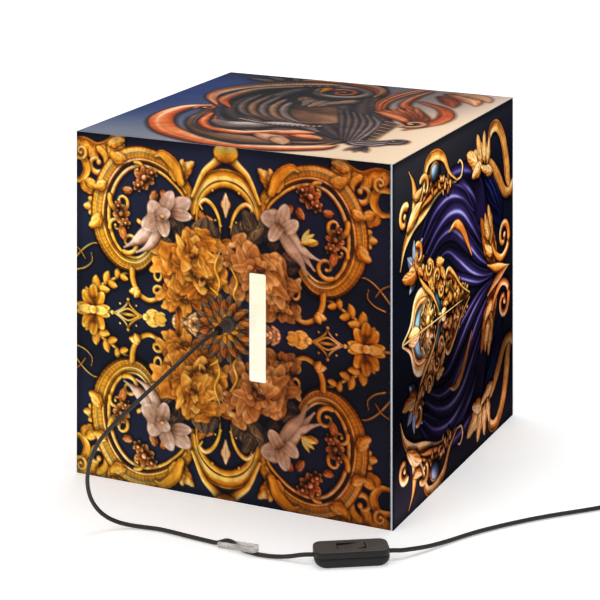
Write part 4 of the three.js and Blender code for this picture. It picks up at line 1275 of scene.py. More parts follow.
def rosette(c, x, y, r, pal=GOLD, n=5, phase=0.0, lift=0.0, heart=None):
    for i in range(n):
        a = phase + 360.0 * i / n
        ca, sa = np.cos(np.radians(a)), np.sin(np.radians(a))
        blob(c, x + 0.55 * r * ca, y + 0.55 * r * sa, 0.5 * r, 0.36 * r, a, petal(pal, lift, 2.0, i * 1.7), 0.06, 3)
    blob(c, x, y, 0.3 * r, 0.3 * r, 0, dome(heart or pal, 0.15))


def volute(c, cx, cy, r, a0, turns, w0, w1, pal=GOLD, kind="round", eye=True, sx=1.0, sy=1.0, lift=0.0):
    """A scroll that winds inwards from radius r."""
    n = max(24, int(abs(turns) * 36))
    P = spiral(cx, cy, r, r * 0.2, a0, a0 + 360 * turns, n, sx, sy, 0.9)
    w = np.linspace(w0, w1, n)
    ribbon(c, P, w, metal(pal, kind, lift=lift))
    if eye:
        blob(c, P[-1, 0], P[-1, 1], w1 * 1.7, w1 * 1.7, 0, dome(pal, 0.1 + lift))
    return P


def fringe(c, P, side, size, count, pal, t0=0.05, t1=0.95, lean=35.0, curl=30.0, lift=0.0, rng=None, width=0.34, grow=None):
    """Small leaves set along a path on one side of it."""
    P = np.asarray(P)
    seg = np.diff(P, axis=0)
    L = np.r_[0, np.cumsum(np.hypot(seg[:, 0], seg[:, 1]))]
    for i in range(count):
        t = t0 + (t1 - t0) * (i + 0.5) / count
        s = t * L[-1]
        p = np.array([np.interp(s, L, P[:, 0]), np.interp(s, L, P[:, 1])])
        q = np.array([np.interp(min(s + 0.01 * L[-1], L[-1]), L, P[:, 0]), np.interp(min(s + 0.01 * L[-1], L[-1]), L, P[:, 1])])
        o = np.array([np.interp(max(s - 0.01 * L[-1], 0), L, P[:, 0]), np.interp(max(s - 0.01 * L[-1], 0), L, P[:, 1])])
        a = np.degrees(np.arctan2(*(q - o)[::-1]))
        k = size * (1 if grow is None else grow(t))
        if rng is not None:
            k *= rng.uniform(0.8, 1.2)
        leaf(c, p, a + side * (90 - lean), k, k * width, side * -curl, pal, lift, n=12, lobes=2)

def art_front(k, seed=3, warm=1.0):
    """The service panel's print: gold scrollwork and blossoms on near-black, mirrored top to bottom."""
    MX, MY = 0.489, 0.515
    rng = np.random.RandomState(seed)
    h = Canvas(k, w=MX + 0.03 + 0.02, h=MY, x0=-0.03, y0=0.0)
    yy = h.ys[:, None]
    xx = h.xs[None, :]
    g0 = np.array([23, 26, 38]) / 255.0
    h.rgb[:] = g0 * (0.85 + 0.5 * np.sin(yy * 7 + xx * 3) ** 2)[..., None]
    h.carve, h.shade = 0.6, 0.34
    LT = [(0.0, 0.0)]
    # tendrils at the edge
    for pts, w in (([(-0.02, 0.39), (0.02, 0.345), (0.055, 0.322), (0.085, 0.322)], 0.0024),
                   ([(0.0, 0.405), (0.03, 0.395), (0.052, 0.375), (0.05, 0.35)], 0.002),
                   ([(-0.02, 0.33), (0.01, 0.345), (0.03, 0.37)], 0.0018)):
        P = cr(pts)
        ribbon(h, P, np.linspace(w, w * 0.5, len(P)), metal(GOLD, edge=0.2))
    # corner fragments
    P = cr([(-0.03, 0.035), (0.02, 0.03), (0.07, 0.045), (0.115, 0.02), (0.13, -0.02)])
    ribbon(h, P, taper(len(P), 0.012, 0.019, 0.008), metal(GOLD, "band"))
    fringe(h, P, 1, 0.05, 6, GOLD, lean=30, curl=60, rng=rng)
    volute(h, 0.068, 0.088, 0.042, -80, 1.15, 0.012, 0.005, GOLD, lift=0.1)
    P = cr([(-0.02, 0.075), (0.02, 0.075), (0.035, 0.11), (0.015, 0.14), (-0.02, 0.14)])
    ribbon(h, P, taper(len(P), 0.008, 0.013, 0.006), metal(GOLD, "band"))
    for a, s in ((20, 0.06), (70, 0.05), (-35, 0.05)):
        leaf(h, (0.115, 0.03), a, s, s * 0.3, 40, GOLD, 0.05)
    leaf(h, (0.02, 0.15), 40, 0.055, 0.015, -50, GOLD, 0.0)
    leaf(h, (0.035, 0.145), 10, 0.05, 0.014, 50, GOLD, 0.0)
    volute(h, 0.015, 0.058, 0.02, 60, -0.9, 0.006, 0.003, GOLD, lift=0.12)
    # leaves that stand off the wreath
    ring = cr([(0.384, 0.186), (0.365, 0.135), (0.318, 0.086), (0.262, 0.058), (0.205, 0.052), (0.150, 0.072), (0.108, 0.118),
               (0.084, 0.178), (0.078, 0.240), (0.090, 0.296), (0.118, 0.340), (0.158, 0.368), (0.205, 0.370), (0.240, 0.345),
               (0.262, 0.305), (0.262, 0.268)], 10)
    n = len(ring)
    fringe(h, ring, -1, 0.046, 6, GOLD, 0.42, 0.80, lean=58, curl=46, rng=rng, width=0.27)
    fringe(h, ring, -1, 0.0205, 44, GOLD, 0.10, 0.40, lean=2, curl=8, lift=-0.08, width=0.16)
    for a, s, ww in ((176, 0.072, 0.30), (150, 0.06, 0.30), (205, 0.06, 0.30), (125, 0.045, 0.3), (232, 0.05, 0.3)):
        leaf(h, (0.095, 0.212), a, s, s * ww, (180 - a) * 0.5, GOLD, 0.08, lobes=3)
    # second leafy branch outside the wreath's foot
    P = cr([(0.052, 0.500), (0.066, 0.462), (0.092, 0.436), (0.126, 0.418), (0.158, 0.400), (0.196, 0.392)])
    ribbon(h, P, np.linspace(0.006, 0.004, len(P)), metal(GOLD))
    for t, sd, s in ((0.06, -1, 0.052), (0.10, 1, 0.050), (0.25, -1, 0.048), (0.30, 1, 0.04), (0.47, -1, 0.04), (0.52, 1, 0.036), (0.7, -1, 0.032), (0.76, 1, 0.03), (0.93, -1, 0.026)):
        i = int(t * (len(P) - 2))
        a = np.degrees(np.arctan2(*(P[i + 1] - P[i])[::-1]))
        leaf(h, P[i], a + sd * 58, s * 0.9, s * 0.27, -sd * 30, GOLD, 0.0, lobes=1, depth=0.14)
    # the wreath's band, its inner rim and its leafwork
    w = np.interp(np.linspace(0, 1, n), [0, 0.12, 0.35, 0.6, 0.8, 1], [0.012, 0.021, 0.0265, 0.0245, 0.018, 0.006])
    ribbon(h, ring, w * 1.16, metal(COPPER, "round", lift=-0.35))
    ribbon(h, ring, w, metal(GOLD, "crest", edge=0.5, hatch=0.11, freq=70, lift=-0.10))
    seg = np.gradient(ring, axis=0)
    nrm = np.stack([-seg[:, 1], seg[:, 0]], 1) / np.hypot(seg[:, 0], seg[:, 1])[:, None]
    inner = ring - nrm * (w * 1.25)[:, None]
    ribbon(h, inner[6:-14], np.interp(np.linspace(0, 1, n - 20), [0, 0.5, 1], [0.004, 0.0065, 0.003]), metal(GOLD, "round", lift=0.12))
    for off, ww, lf in ((-0.46, 0.12, 0.16), (0.52, 0.07, 0.12)):
        ribbon(h, (ring + nrm * (w * off)[:, None])[9:-9], (w * ww)[9:-9], metal(GOLD, "round", edge=0.12, lift=lf))
    fringe(h, ring[14:], 1, 0.046, 3, GOLD, 0.22, 0.62, lean=58, curl=-50, rng=rng, width=0.36, lift=0.02)
    # small scrolls growing from the wreath inwards
    for cx, cy, r, a0, tn, w0 in ((0.150, 0.190, 0.040, 200, -1.0, 0.0085), (0.176, 0.306, 0.034, 120, -1.1, 0.008), (0.205, 0.098, 0.026, 250, 1.0, 0.0065), (0.135, 0.262, 0.024, 160, 1.1, 0.0062)):
        volute(h, cx, cy, r, a0, tn, w0, w0 * 0.4, GOLD, lift=0.05)
    for x, y, r in ((0.226, 0.115, 0.032), (0.250, 0.098, 0.018), (0.206, 0.138, 0.018)):
        rosette(h, x, y, r, COPPER, 6, 20, 0.06, COPPER)
    for x, y, r in ((0.150, 0.226, 0.027), (0.164, 0.252, 0.016), (0.140, 0.204, 0.015)):
        rosette(h, x, y, r, COPPER, 6, 50, 0.06, COPPER)
    for x, y, a, s in ((0.262, 0.155, 110, 0.03), (0.285, 0.148, 60, 0.024), (0.150, 0.27, 60, 0.03), (0.18, 0.155, 170, 0.026)):
        leaf(h, (x, y), a, s, s * 0.4, 40, COPPER, -0.1)
    volute(h, 0.232, 0.225, 0.030, 150, -0.62, 0.0065, 0.0015, GOLD, eye=False, lift=0.25)
    # leaves where the wreath meets the arch
    for a, s in ((-58, 0.075), (-86, 0.062), (-112, 0.066), (-140, 0.05)):
        leaf(h, (0.338, 0.108), a, s, s * 0.27, 26, GOLD, 0.1, lobes=3)
    P = cr([(0.345, 0.115), (0.325, 0.07), (0.285, 0.040), (0.262, 0.046)])
    ribbon(h, P, taper(len(P), 0.012, 0.017, 0.005), metal(GOLD, "band"))
    # arch
    arch = cr([(0.386, 0.196), (0.392, 0.150), (0.414, 0.112), (0.448, 0.088), (0.489, 0.080), (0.53, 0.088)], 10)
    m = len(arch)
    ribbon(h, arch + [0, 0.013], np.interp(np.linspace(0, 1, m), [0, 0.4, 1], [0.008, 0.022, 0.028]), metal(COPPER, "round", lift=-0.22))
    ribbon(h, arch, np.interp(np.linspace(0, 1, m), [0, 0.4, 1], [0.007, 0.0155, 0.018]), metal(GOLD, "band"))
    ribbon(h, arch + [0.010, 0.027], np.interp(np.linspace(0, 1, m), [0, 0.4, 1], [0.004, 0.009, 0.011]), metal(GOLD, "round", lift=-0.1))
    up = cr([(0.384, 0.150), (0.418, 0.082), (0.452, 0.052), (0.470, 0.038), (0.489, 0.032), (0.51, 0.034)], 10)
    ribbon(h, up, np.interp(np.linspace(0, 1, len(up)), [0, 0.5, 1], [0.006, 0.014, 0.02]), metal(GOLD, "crest", lift=0.05))
    blob(h, MX, 0.018, 0.040, 0.031, 0, dome(GOLD, 0.02))
    # inside the arch
    P = cr([(0.470, 0.262), (0.470, 0.215), (0.452, 0.176), (0.426, 0.158), (0.407, 0.170), (0.414, 0.184)])
    ribbon(h, P, taper(len(P), 0.003, 0.0068, 0.0025, 0.6), metal(GOLD, lift=0.15))
    P = cr([(0.468, 0.250), (0.446, 0.262), (0.425, 0.25)])
    ribbon(h, P, taper(len(P), 0.003, 0.004, 0.001), metal(GOLD))
    dia = np.array([(MX, 0.130), (MX, 0.145), (MX, 0.163), (MX, 0.182), (MX, 0.203)])
    ribbon(h, dia, [0.001, 0.008, 0.0165, 0.008, 0.0008], metal(COPPER, "round", lift=0.12))
    for x, y, r in ((0.447, 0.128, 0.0042), (0.456, 0.212, 0.0035), (0.432, 0.205, 0.003), (0.474, 0.226, 0.004)):
        blob(h, x, y, r, r, 0, dome(GOLD, 0.1))
    for (x, y), a, s in (((0.445, 0.22), 200, 0.035), ((0.452, 0.235), 160, 0.03), ((0.42, 0.215), 230, 0.03)):
        leaf(h, (x, y), a, s, s * 0.33, 30, COPPER, -0.15)
    # S scroll and oval under the wreath
    P = np.vstack([cr([(0.186, 0.384), (0.190, 0.418), (0.208, 0.450), (0.240, 0.466), (0.272, 0.458)], 9), spiral(0.268, 0.437, 0.022, 0.006, 70, -260, 26)])
    ribbon(h, P, np.linspace(0.0095, 0.0045, len(P)), metal(GOLD, lift=0.05))
    for a, s in ((150, 0.03), (100, 0.026)):
        leaf(h, (0.205, 0.44), a, s, s * 0.35, 40, GOLD, 0.1)
    o = spiral(0.271, 0.389, 1, 1, 0, 360, 30, 0.0115, 0.0165)
    ribbon(h, o, 0.0042, metal(GOLD, lift=0.1))
    # middle row
    P = np.array([(-0.03, MY), (0.20, MY)])
    ribbon(h, P, 0.0035, metal(GOLD))
    for a, rr, pa, pb in ((-58, 0.036, 0.027, 0.017), (-122, 0.036, 0.027, 0.017), (-90, 0.052, 0.022, 0.015), (-12, 0.030, 0.026, 0.012), (-168, 0.030, 0.026, 0.012)):
        ca, sa = np.cos(np.radians(a)), np.sin(np.radians(a))
        blob(h, 0.056 + rr * ca, MY + rr * sa, pa, pb, a, petal(GOLD, 0.16, 2.0, a * 0.1, 0.2, 0.5), 0.05, 3)
    for x in (0.020, 0.092):
        leaf(h, (0.056, MY), 180 if x < 0.05 else 0, 0.05, 0.013, 0, GOLD, 0.08, lobes=1, depth=0.1)
    blob(h, 0.056, MY, 0.014, 0.012, 0, dome(GOLD, 0.1))
    for q in ([(0.128, MY), (0.150, MY - 0.012), (0.166, MY - 0.026), (0.173, MY - 0.040)], [(0.173, MY - 0.040), (0.180, MY - 0.026), (0.196, MY - 0.012), (0.218, MY)],
              [(0.138, MY), (0.173, MY - 0.016), (0.208, MY)]):
        P = cr(q)
        ribbon(h, P, 0.0026, metal(GOLD, edge=0.2, lift=0.1))
    for x, y, r in ((0.173, MY - 0.043, 0.0052), (0.146, MY - 0.028, 0.0034), (0.200, MY - 0.028, 0.0034), (0.120, MY, 0.006)):
        blob(h, x, y, r, r, 0, dome(GOLD, 0.15))
    for x, s, lf in ((0.232, 0.046, 0.0), (0.262, 0.036, -0.08)):
        for a in (-34, -14):
            leaf(h, (x, MY), a, s, s * 0.3, 30, GOLD, lf, lobes=1)
        leaf(h, (x, MY), 0, s * 1.05, s * 0.22, 0, GOLD, lf, lobes=1)
    blob(h, 0.230, MY, 0.010, 0.010, 0, dome(GOLD, 0.1))
    for i, (x, s) in enumerate(((0.325, 0.034), (0.350, 0.040), (0.376, 0.044))):
        for a in (-62, -30, 150 if i else -10):
            leaf(h, (x, MY), a, s, s * 0.28, 24, LEAFDK if i % 2 else COPPER, 0.02 if i % 2 == 0 else 0.35, lobes=2)
        blob(h, x, MY, 0.009, 0.012, 0, dome(COPPER, 0.0))
    # dark foliage behind the blossoms
    for x, y, a, s in ((0.300, 0.300, 200, 0.075), (0.295, 0.330, 235, 0.07), (0.310, 0.290, 160, 0.06), (0.345, 0.270, 250, 0.07), (0.39, 0.262, 290, 0.06),
                       (0.432, 0.262, 255, 0.055), (0.300, 0.262, 170, 0.05), (0.328, 0.245, 215, 0.05), (0.46, 0.26, 240, 0.05)):
        leaf(h, (x, y), a, s, s * 0.3, 25, LEAFDK, -0.05, lobes=2)

    # put the half together with its mirror image
    full = Canvas(k, 1.0, MY, 0, 0)
    xs = full.xs
    src = np.where(xs <= MX, xs, 2 * MX - xs)
    idx = np.clip(np.round((src - h.x0) * k - 0.5).astype(int), 0, h.w - 1)
    full.rgb[:] = h.rgb[:full.h][:, idx]
    # the right side is browner and a little darker than the left
    t = smooth(0.42, 0.75, full.xs)[None, :, None]
    lum = full.rgb.mean(2, keepdims=True)
    warmer = full.rgb * np.array([0.96, 0.82, 0.86], F32) * 0.97
    full.rgb[:] = full.rgb * (1 - t) + warmer * t
    c = full
    c.carve, c.shade = 0.6, 0.16

    # dark foliage on the right of the arch
    for x, y, a, s in ((0.545, 0.245, 300, 0.075), (0.575, 0.235, 250, 0.07), (0.60, 0.25, 280, 0.06), (0.53, 0.262, 260, 0.05), (0.57, 0.26, 320, 0.06)):
        leaf(c, (x, y), a, s, s * 0.34, -20, LEAFDK, 0.0, lobes=2)

    def peony(cx, cy, R, pal, sd, squash=1.0, lift=0.0):
        r = np.random.RandomState(sd)
        for ring_, (rad, size, cnt) in enumerate(((0.80, 0.66, 6), (0.52, 0.66, 5), (0.30, 0.56, 4), (0.14, 0.34, 3))):
            turn = r.uniform(0, 360)
            for i in range(cnt):
                a = turn + 360.0 * i / cnt + r.uniform(-24, 24)
                ca, sa = np.cos(np.radians(a)), np.sin(np.radians(a))
                rr = rad * R * r.uniform(0.70, 1.16)
                tone = r.choice([-0.30, -0.12, 0.02, 0.10, 0.2])
                blob(c, cx + rr * ca, cy + rr * sa * squash, size * R * r.uniform(0.7, 1.25), size * R * r.uniform(0.40, 0.78), a + r.uniform(-60, 60),
                     petal(pal, lift - 0.02 + 0.03 * ring_ + 0.95 * tone, r.uniform(1.2, 3.2), r.uniform(0, 6), r.uniform(0.08, 0.18), 0.36), r.uniform(0.1, 0.26), r.randint(3, 6), r.uniform(0, 6))
        for i in range(5):
            a = r.uniform(0, 360)
            blob(c, cx + 0.08 * R * np.cos(a), cy + 0.08 * R * np.sin(a), 0.13 * R, 0.08 * R, a * 57, petal(pal, lift - 0.35, 2, i), 0.1, 4)

    for cx, cy, R, sd, pal, lf in ((0.345, 0.430, 0.060, 5, PEONY, 0.0), (0.430, 0.300, 0.052, 8, PEONY, 0.0), (0.345, 0.345, 0.070, 7, PEONY, 0.08), (0.425, 0.375, 0.066, 9, PEONY, 0.04), (0.385, 0.325, 0.066, 11, PEONY, 0.06),
                                   (0.660, 0.425, 0.050, 12, RUSTY, 0.02), (0.535, 0.305, 0.050, 13, RUSTY, 0.10), (0.64, 0.365, 0.064, 15, RUSTY, 0.12), (0.575, 0.350, 0.072, 16, RUSTY, 0.08)):
        peony(cx, cy, R, pal, sd, lift=lf)
    # thin gold curls among the blossoms
    for pts in ([(0.470, 0.300), (0.455, 0.345), (0.470, 0.39), (0.455, 0.43)], [(0.505, 0.34), (0.525, 0.38), (0.515, 0.42), (0.54, 0.45)], [(0.44, 0.405), (0.465, 0.425), (0.47, 0.455)]):
        P = cr(pts)
        ribbon(c, P, taper(len(P), 0.002, 0.005, 0.0015), metal(GOLD, lift=0.05))
    # cream orchid on the left
    for pts, w in (([(0.265, 0.235), (0.235, 0.275), (0.200, 0.300), (0.160, 0.322)], 0.024), ([(0.272, 0.240), (0.262, 0.285), (0.235, 0.315), (0.20, 0.332)], 0.017)):
        P = cr(pts)
        ribbon(c, P, taper(len(P), 0.012, w, 0.003, 0.35), metal(CREAM, "crest", edge=0.22, lift=-0.06, hatch=0.03, freq=16))
    for x, y, a, b, ang, lf in ((0.335, 0.186, 0.046, 0.028, -28, 0.02), (0.300, 0.176, 0.036, 0.022, -62, 0.06), (0.345, 0.208, 0.034, 0.018, 8, -0.06), (0.262, 0.205, 0.032, 0.026, -130, 0.08),
                                (0.250, 0.240, 0.036, 0.026, 150, 0.0), (0.288, 0.245, 0.032, 0.022, 75, -0.04), (0.285, 0.212, 0.026, 0.020, -20, 0.1)):
        blob(c, x, y, a, b, ang, petal(CREAM, 0.14 + lf, 2.6, x * 40, 0.22, 0.4), 0.05, 3, x * 20)
    blob(c, 0.285, 0.222, 0.009, 0.007, 30, dome(COPPER, 0.1))
    # peach drape on the right
    for pts, w, lf in (([(0.622, 0.176), (0.650, 0.205), (0.690, 0.235), (0.735, 0.285), (0.765, 0.318)], 0.030, -0.04),
                       ([(0.640, 0.172), (0.675, 0.200), (0.700, 0.245), (0.745, 0.275), (0.785, 0.29)], 0.024, 0.04),
                       ([(0.655, 0.210), (0.690, 0.262), (0.725, 0.300), (0.742, 0.332)], 0.018, -0.1)):
        P = cr(pts)
        ribbon(c, P, taper(len(P), 0.014, w, 0.003, 0.3), metal(CREAM, "crest", edge=0.25, lift=lf - 0.12, hatch=0.03, freq=14))
    for x, y, a, b, ang, lf in ((0.640, 0.190, 0.040, 0.030, 190, -0.06), (0.668, 0.178, 0.036, 0.022, -70, 0.0), (0.690, 0.205, 0.030, 0.020, -30, 0.02), (0.645, 0.225, 0.030, 0.020, 130, -0.12)):
        blob(c, x, y, a, b, ang, petal(CREAM, 0.04 + lf, 3, x * 31, 0.2, 0.4), 0.05, 3, x * 20)
    for a in (-62, -38, -14):
        leaf(c, (0.728, 0.245), a, 0.046, 0.008, 0, GOLD, 0.15, lobes=1)
    # centre rosette
    for ring_, (rad, cnt, ln, pal, lf) in enumerate(((0.050, 18, 0.050, LEAFDK, 0.1), (0.040, 14, 0.044, COPPER, -0.30), (0.026, 12, 0.036, LEAFDK, 0.25), (0.016, 9, 0.026, GOLD, -0.3))):
        for i in range(cnt):
            a = 360.0 * i / cnt + 10 * ring_
            ca, sa = np.cos(np.radians(a)), np.sin(np.radians(a))
            leaf(c, (0.487 + rad * ca, MY + rad * sa), a, ln, ln * 0.3, 12, pal, lf, n=8, lobes=1)
    blob(c, 0.487, MY, 0.018, 0.018, 0, dome(COPPER, -0.1))
    # second copy below, mirrored
    out = np.zeros((c.w, c.w, 3), F32)
    ys = (np.arange(c.w) + 0.5) / k
    sy = np.where(ys <= MY, ys, 2 * MY - ys)
    jj = np.clip(np.round(sy * k - 0.5).astype(int), 0, c.h - 1)
    out[:] = c.rgb[jj]
    low = smooth(MY - 0.01, MY + 0.05, ys)[:, None, None]
    xs = (np.arange(c.w) + 0.5) / k
    east = smooth(0.46, 0.70, xs)[None, :, None]
    out = out * (1 - 0.08 * low) * (1 - low * east * np.array([0.03, 0.06, 0.08], F32))
    out *= 1 - 0.35 * (smooth(0.035, 0.0, ys) + smooth(0.965, 1.0, ys))[:, None, None]
    xs = (np.arange(c.w) + 0.5) / k
    out *= 1 - 0.3 * (smooth(0.03, 0.0, xs) + smooth(0.97, 1.0, xs))[None, :, None]
    # lit from the left: the gold pales on that side and reddens on the other
    side = smooth(0.0, 1.0, xs)[None, :, None]
    out *= np.array([1.12, 1.13, 1.20], F32) * (1 - side) + np.array([0.85, 0.815, 0.88], F32) * side
    mean = out.mean(2, keepdims=True)
    out = np.maximum(mean + (out - mean) * (1 + 0.12 * smooth(0.35, 0.8, xs)[None, :, None]), 0)
    out *= 1 - (smooth(0.26, 0.08, ys)[:, None] * smooth(0.52, 0.30, xs)[None, :])[..., None] * np.array([0.07, 0.13, 0.10], F32)
    return np.clip(out * 0.97 * warm, 0, 1)

def art_right(k, seed=5):
    """The right-hand print: violet silk folds and gold leafwork, reflected darker below a pointed gold line."""
    MY = 0.515
    GOLD = hexes((-0.7, 26, 14, 10), (-0.2, 86, 44, 18), (0.15, 146, 82, 28), (0.42, 190, 118, 44), (0.62, 216, 150, 66), (0.82, 238, 190, 108),
                 (1.0, 250, 218, 150), (1.2, 255, 240, 196))
    c = Canvas(k, 1.0, MY + 0.012, 0, 0)
    rng = np.random.RandomState(seed)
    y = c.ys[:, None, None]
    x = c.xs[None, :, None]
    top = np.array([50, 49, 54], F32) / 255
    low = np.array([18, 20, 31], F32) / 255
    t = smooth(0.0, 0.34, y + 0.12 * x)
    c.rgb[:] = top * (1 - t) + low * t
    c.carve, c.shade = 0.15, 0.5

    def silk(pts, w, pal=SILK, lift=0.0, waves=7.0, opacity=1.0, edge=0.25):
        P = cr(pts, 14)

        def f(u, s, tx, ty):
            v = 0.16 + lift + 0.42 * np.sin(u * waves + s * 2.2 + 0.6) + 0.16 * np.sin(u * waves * 2.1 + s * 5)
            v = v - 0.35 * np.abs(u) ** 3 - 0.22 * np.cos(s * 6.0)
            return ramp(pal, v - edge * smooth(0.86, 1.0, np.abs(u)))
        n = len(P)
        wt = np.interp(np.linspace(0, 1, n), np.linspace(0, 1, len(w)), w)
        ribbon(c, P, wt, f, opacity)

    # dark pleated cloth at the back
    silk([(0.66, 0.17), (0.76, 0.20), (0.84, 0.27), (0.88, 0.34)], [0.02, 0.05, 0.055, 0.02], BLUE, -0.5, 16)
    for i in range(12):
        u = i / 11.0
        px, py = 0.70 + 0.16 * u, 0.175 + 0.15 * u + 0.03 * np.sin(u * 3)
        ribbon(c, cr([(px - 0.02, py - 0.02), (px + 0.01, py + 0.01), (px + 0.02, py + 0.045)]), 0.006, metal(BLUE, lift=-0.55))
    # upper folds
    silk([(0.22, 0.262), (0.30, 0.215), (0.42, 0.170), (0.54, 0.175), (0.64, 0.220), (0.70, 0.290), (0.72, 0.350)], [0.03, 0.055, 0.062, 0.07, 0.075, 0.06, 0.02], SILK, -0.08, 9)
    for o in range(7):
        d = o * 0.016
        P = cr([(0.54 + d, 0.145 + d * 0.1), (0.61 + d, 0.185 + d * 0.2), (0.66 + d * 0.7, 0.24 + d * 0.3), (0.675 + d * 0.5, 0.31 + d * 0.3)])
        ribbon(c, P, taper(len(P), 0.002, 0.008, 0.003), metal(SILK, lift=-0.42, edge=0.5))
    silk([(0.225, 0.262), (0.32, 0.205), (0.44, 0.185), (0.55, 0.215), (0.64, 0.275)], [0.018, 0.032, 0.036, 0.032, 0.006], SILK, 0.0, 6)
    silk([(0.25, 0.305), (0.33, 0.262), (0.43, 0.236), (0.53, 0.25), (0.62, 0.31), (0.70, 0.385)], [0.014, 0.028, 0.034, 0.034, 0.028, 0.004], SILK, 0.05, 5)
    silk([(0.27, 0.325), (0.36, 0.290), (0.46, 0.290), (0.56, 0.340), (0.68, 0.42), (0.80, 0.485)], [0.008, 0.020, 0.028, 0.030, 0.022, 0.003], SILK, 0.08, 5)
    silk([(0.34, 0.345), (0.42, 0.345), (0.50, 0.385), (0.62, 0.45), (0.74, 0.492), (0.86, 0.508)], [0.006, 0.018, 0.026, 0.026, 0.016, 0.002], SILK, 0.02, 5)
    silk([(0.36, 0.40), (0.45, 0.42), (0.55, 0.455), (0.68, 0.495), (0.80, 0.51)], [0.004, 0.014, 0.018, 0.014, 0.002], SILK, -0.05, 4)
    c.carve = 0.6
    # copper lining between the folds
    P = cr([(0.43, 0.288), (0.48, 0.278), (0.53, 0.300), (0.575, 0.345), (0.62, 0.402)])
    ribbon(c, P, np.interp(np.linspace(0, 1, len(P)), [0, 0.35, 0.7, 1], [0.003, 0.017, 0.014, 0.002]), metal(COPPER, "round", lift=0.05, edge=0.4))
    # gold filigree mound
    P = cr([(0.36, 0.50), (0.385, 0.44), (0.42, 0.395), (0.47, 0.42), (0.53, 0.47), (0.60, 0.508)])
    ribbon(c, cr([(0.37, 0.46), (0.43, 0.455), (0.50, 0.488), (0.60, 0.512)]), np.interp(np.linspace(0, 1, 28), [0, 0.3, 1], [0.04, 0.052, 0.004]), metal(COPPER, "ridges", lift=-0.25, edge=0.2))
    for i in range(46):
        u = rng.uniform(0, 1)
        px = 0.37 + 0.20 * u + rng.uniform(-0.015, 0.015)
        py = MY - 0.008 - (0.10 * (1 - u) ** 0.8) * rng.uniform(0.0, 1.0)
        s = rng.uniform(0.018, 0.036)
        leaf(c, (px, py), rng.uniform(160, 380), s, s * 0.34, rng.uniform(-80, 80), GOLD if rng.rand() < 0.6 else COPPER, rng.uniform(-0.3, 0.15), n=10, lobes=2)
    ribbon(c, P, taper(len(P), 0.004, 0.008, 0.002), metal(GOLD, lift=0.1))
    # medallion
    P = cr([(0.070, 0.512), (0.13, 0.478), (0.165, 0.425), (0.21, 0.41), (0.27, 0.425), (0.31, 0.47), (0.345, 0.50), (0.37, 0.512)])
    blob(c, 0.245, 0.505, 0.125, 0.095, 0, dome(hexes((-0.6, 12, 20, 34), (0.1, 40, 78, 96), (0.5, 86, 140, 156), (0.9, 150, 196, 204)), 0.0, 0.3))
    ribbon(c, P, taper(len(P), 0.004, 0.020, 0.004, 0.42), metal(GOLD, "crest", lift=0.18))
    ribbon(c, P + [0.004, 0.022], taper(len(P), 0.002, 0.010, 0.002, 0.4), metal(COPPER, "round", lift=0.05))
    blob(c, 0.262, 0.498, 0.070, 0.072, 0, dome(LEAFDK, 0.2, 0.2))
    for a in range(0, 360, 30):
        ca, sa = np.cos(np.radians(a)), np.sin(np.radians(a))
        volute(c, 0.262 + 0.040 * ca, 0.498 + 0.040 * sa, 0.017, a, 1.0 if a % 60 else -1.0, 0.0042, 0.002, GOLD, lift=0.1)
        leaf(c, (0.262 + 0.012 * ca, 0.498 + 0.012 * sa), a, 0.034, 0.009, 20, GOLD, 0.05, n=8, lobes=1)
    blob(c, 0.262, 0.498, 0.016, 0.016, 0, dome(GOLD, 0.15))
    leaf(c, (0.122, 0.508), 0, 0.075, 0.020, 0, GOLD, 0.15, lobes=1)
    blob(c, 0.387, 0.508, 0.020, 0.013, 0, dome(GOLD, 0.25))
    # gold leafwork below the violet folds, left
    for i, (px, py, a, s) in enumerate(((0.22, 0.345, 40, 0.07), (0.26, 0.335, 20, 0.06), (0.27, 0.36, 70, 0.075), (0.31, 0.37, 50, 0.08), (0.33, 0.35, 20, 0.06), (0.30, 0.40, 90, 0.07), (0.35, 0.41, 70, 0.07), (0.36, 0.38, 30, 0.05))):
        leaf(c, (px, py), a, s, s * 0.26, 35 if i % 2 else -30, GOLD if i % 3 else COPPER, 0.02, lobes=3)
    for cx, cy, r, a0, tn in ((0.275, 0.352, 0.026, 200, -1.1), (0.335, 0.392, 0.026, 160, 1.1), (0.30, 0.43, 0.020, 100, 1.0), (0.37, 0.44, 0.022, 190, -1.0)):
        volute(c, cx, cy, r, a0, tn, 0.007, 0.003, GOLD)
    P = cr([(0.19, 0.355), (0.235, 0.395), (0.30, 0.44), (0.345, 0.492)])
    ribbon(c, P, taper(len(P), 0.003, 0.009, 0.003), metal(GOLD, "round", lift=0.1))
    blob(c, 0.217, 0.340, 0.017, 0.014, 0, dome(GOLD, 0.32))
    # small stone flower on the left
    for i, a in enumerate((150, 200, 245, 290, 120)):
        ca, sa = np.cos(np.radians(a)), np.sin(np.radians(a))
        leaf(c, (0.175, 0.325), a, 0.085, 0.020, 30, hexes((-0.6, 14, 18, 28), (0.2, 50, 58, 72), (0.6, 110, 124, 140), (1.0, 214, 224, 232)), 0.0, lobes=1, depth=0.1)
    for a, s in ((215, 0.05), (170, 0.115), (260, 0.075), (320, 0.06), (20, 0.05)):
        leaf(c, (0.180, 0.335), a, s, s * 0.22, 28, COPPER, 0.0, lobes=2)
    volute(c, 0.188, 0.296, 0.034, 250, 0.8, 0.011, 0.005, COPPER, eye=False)
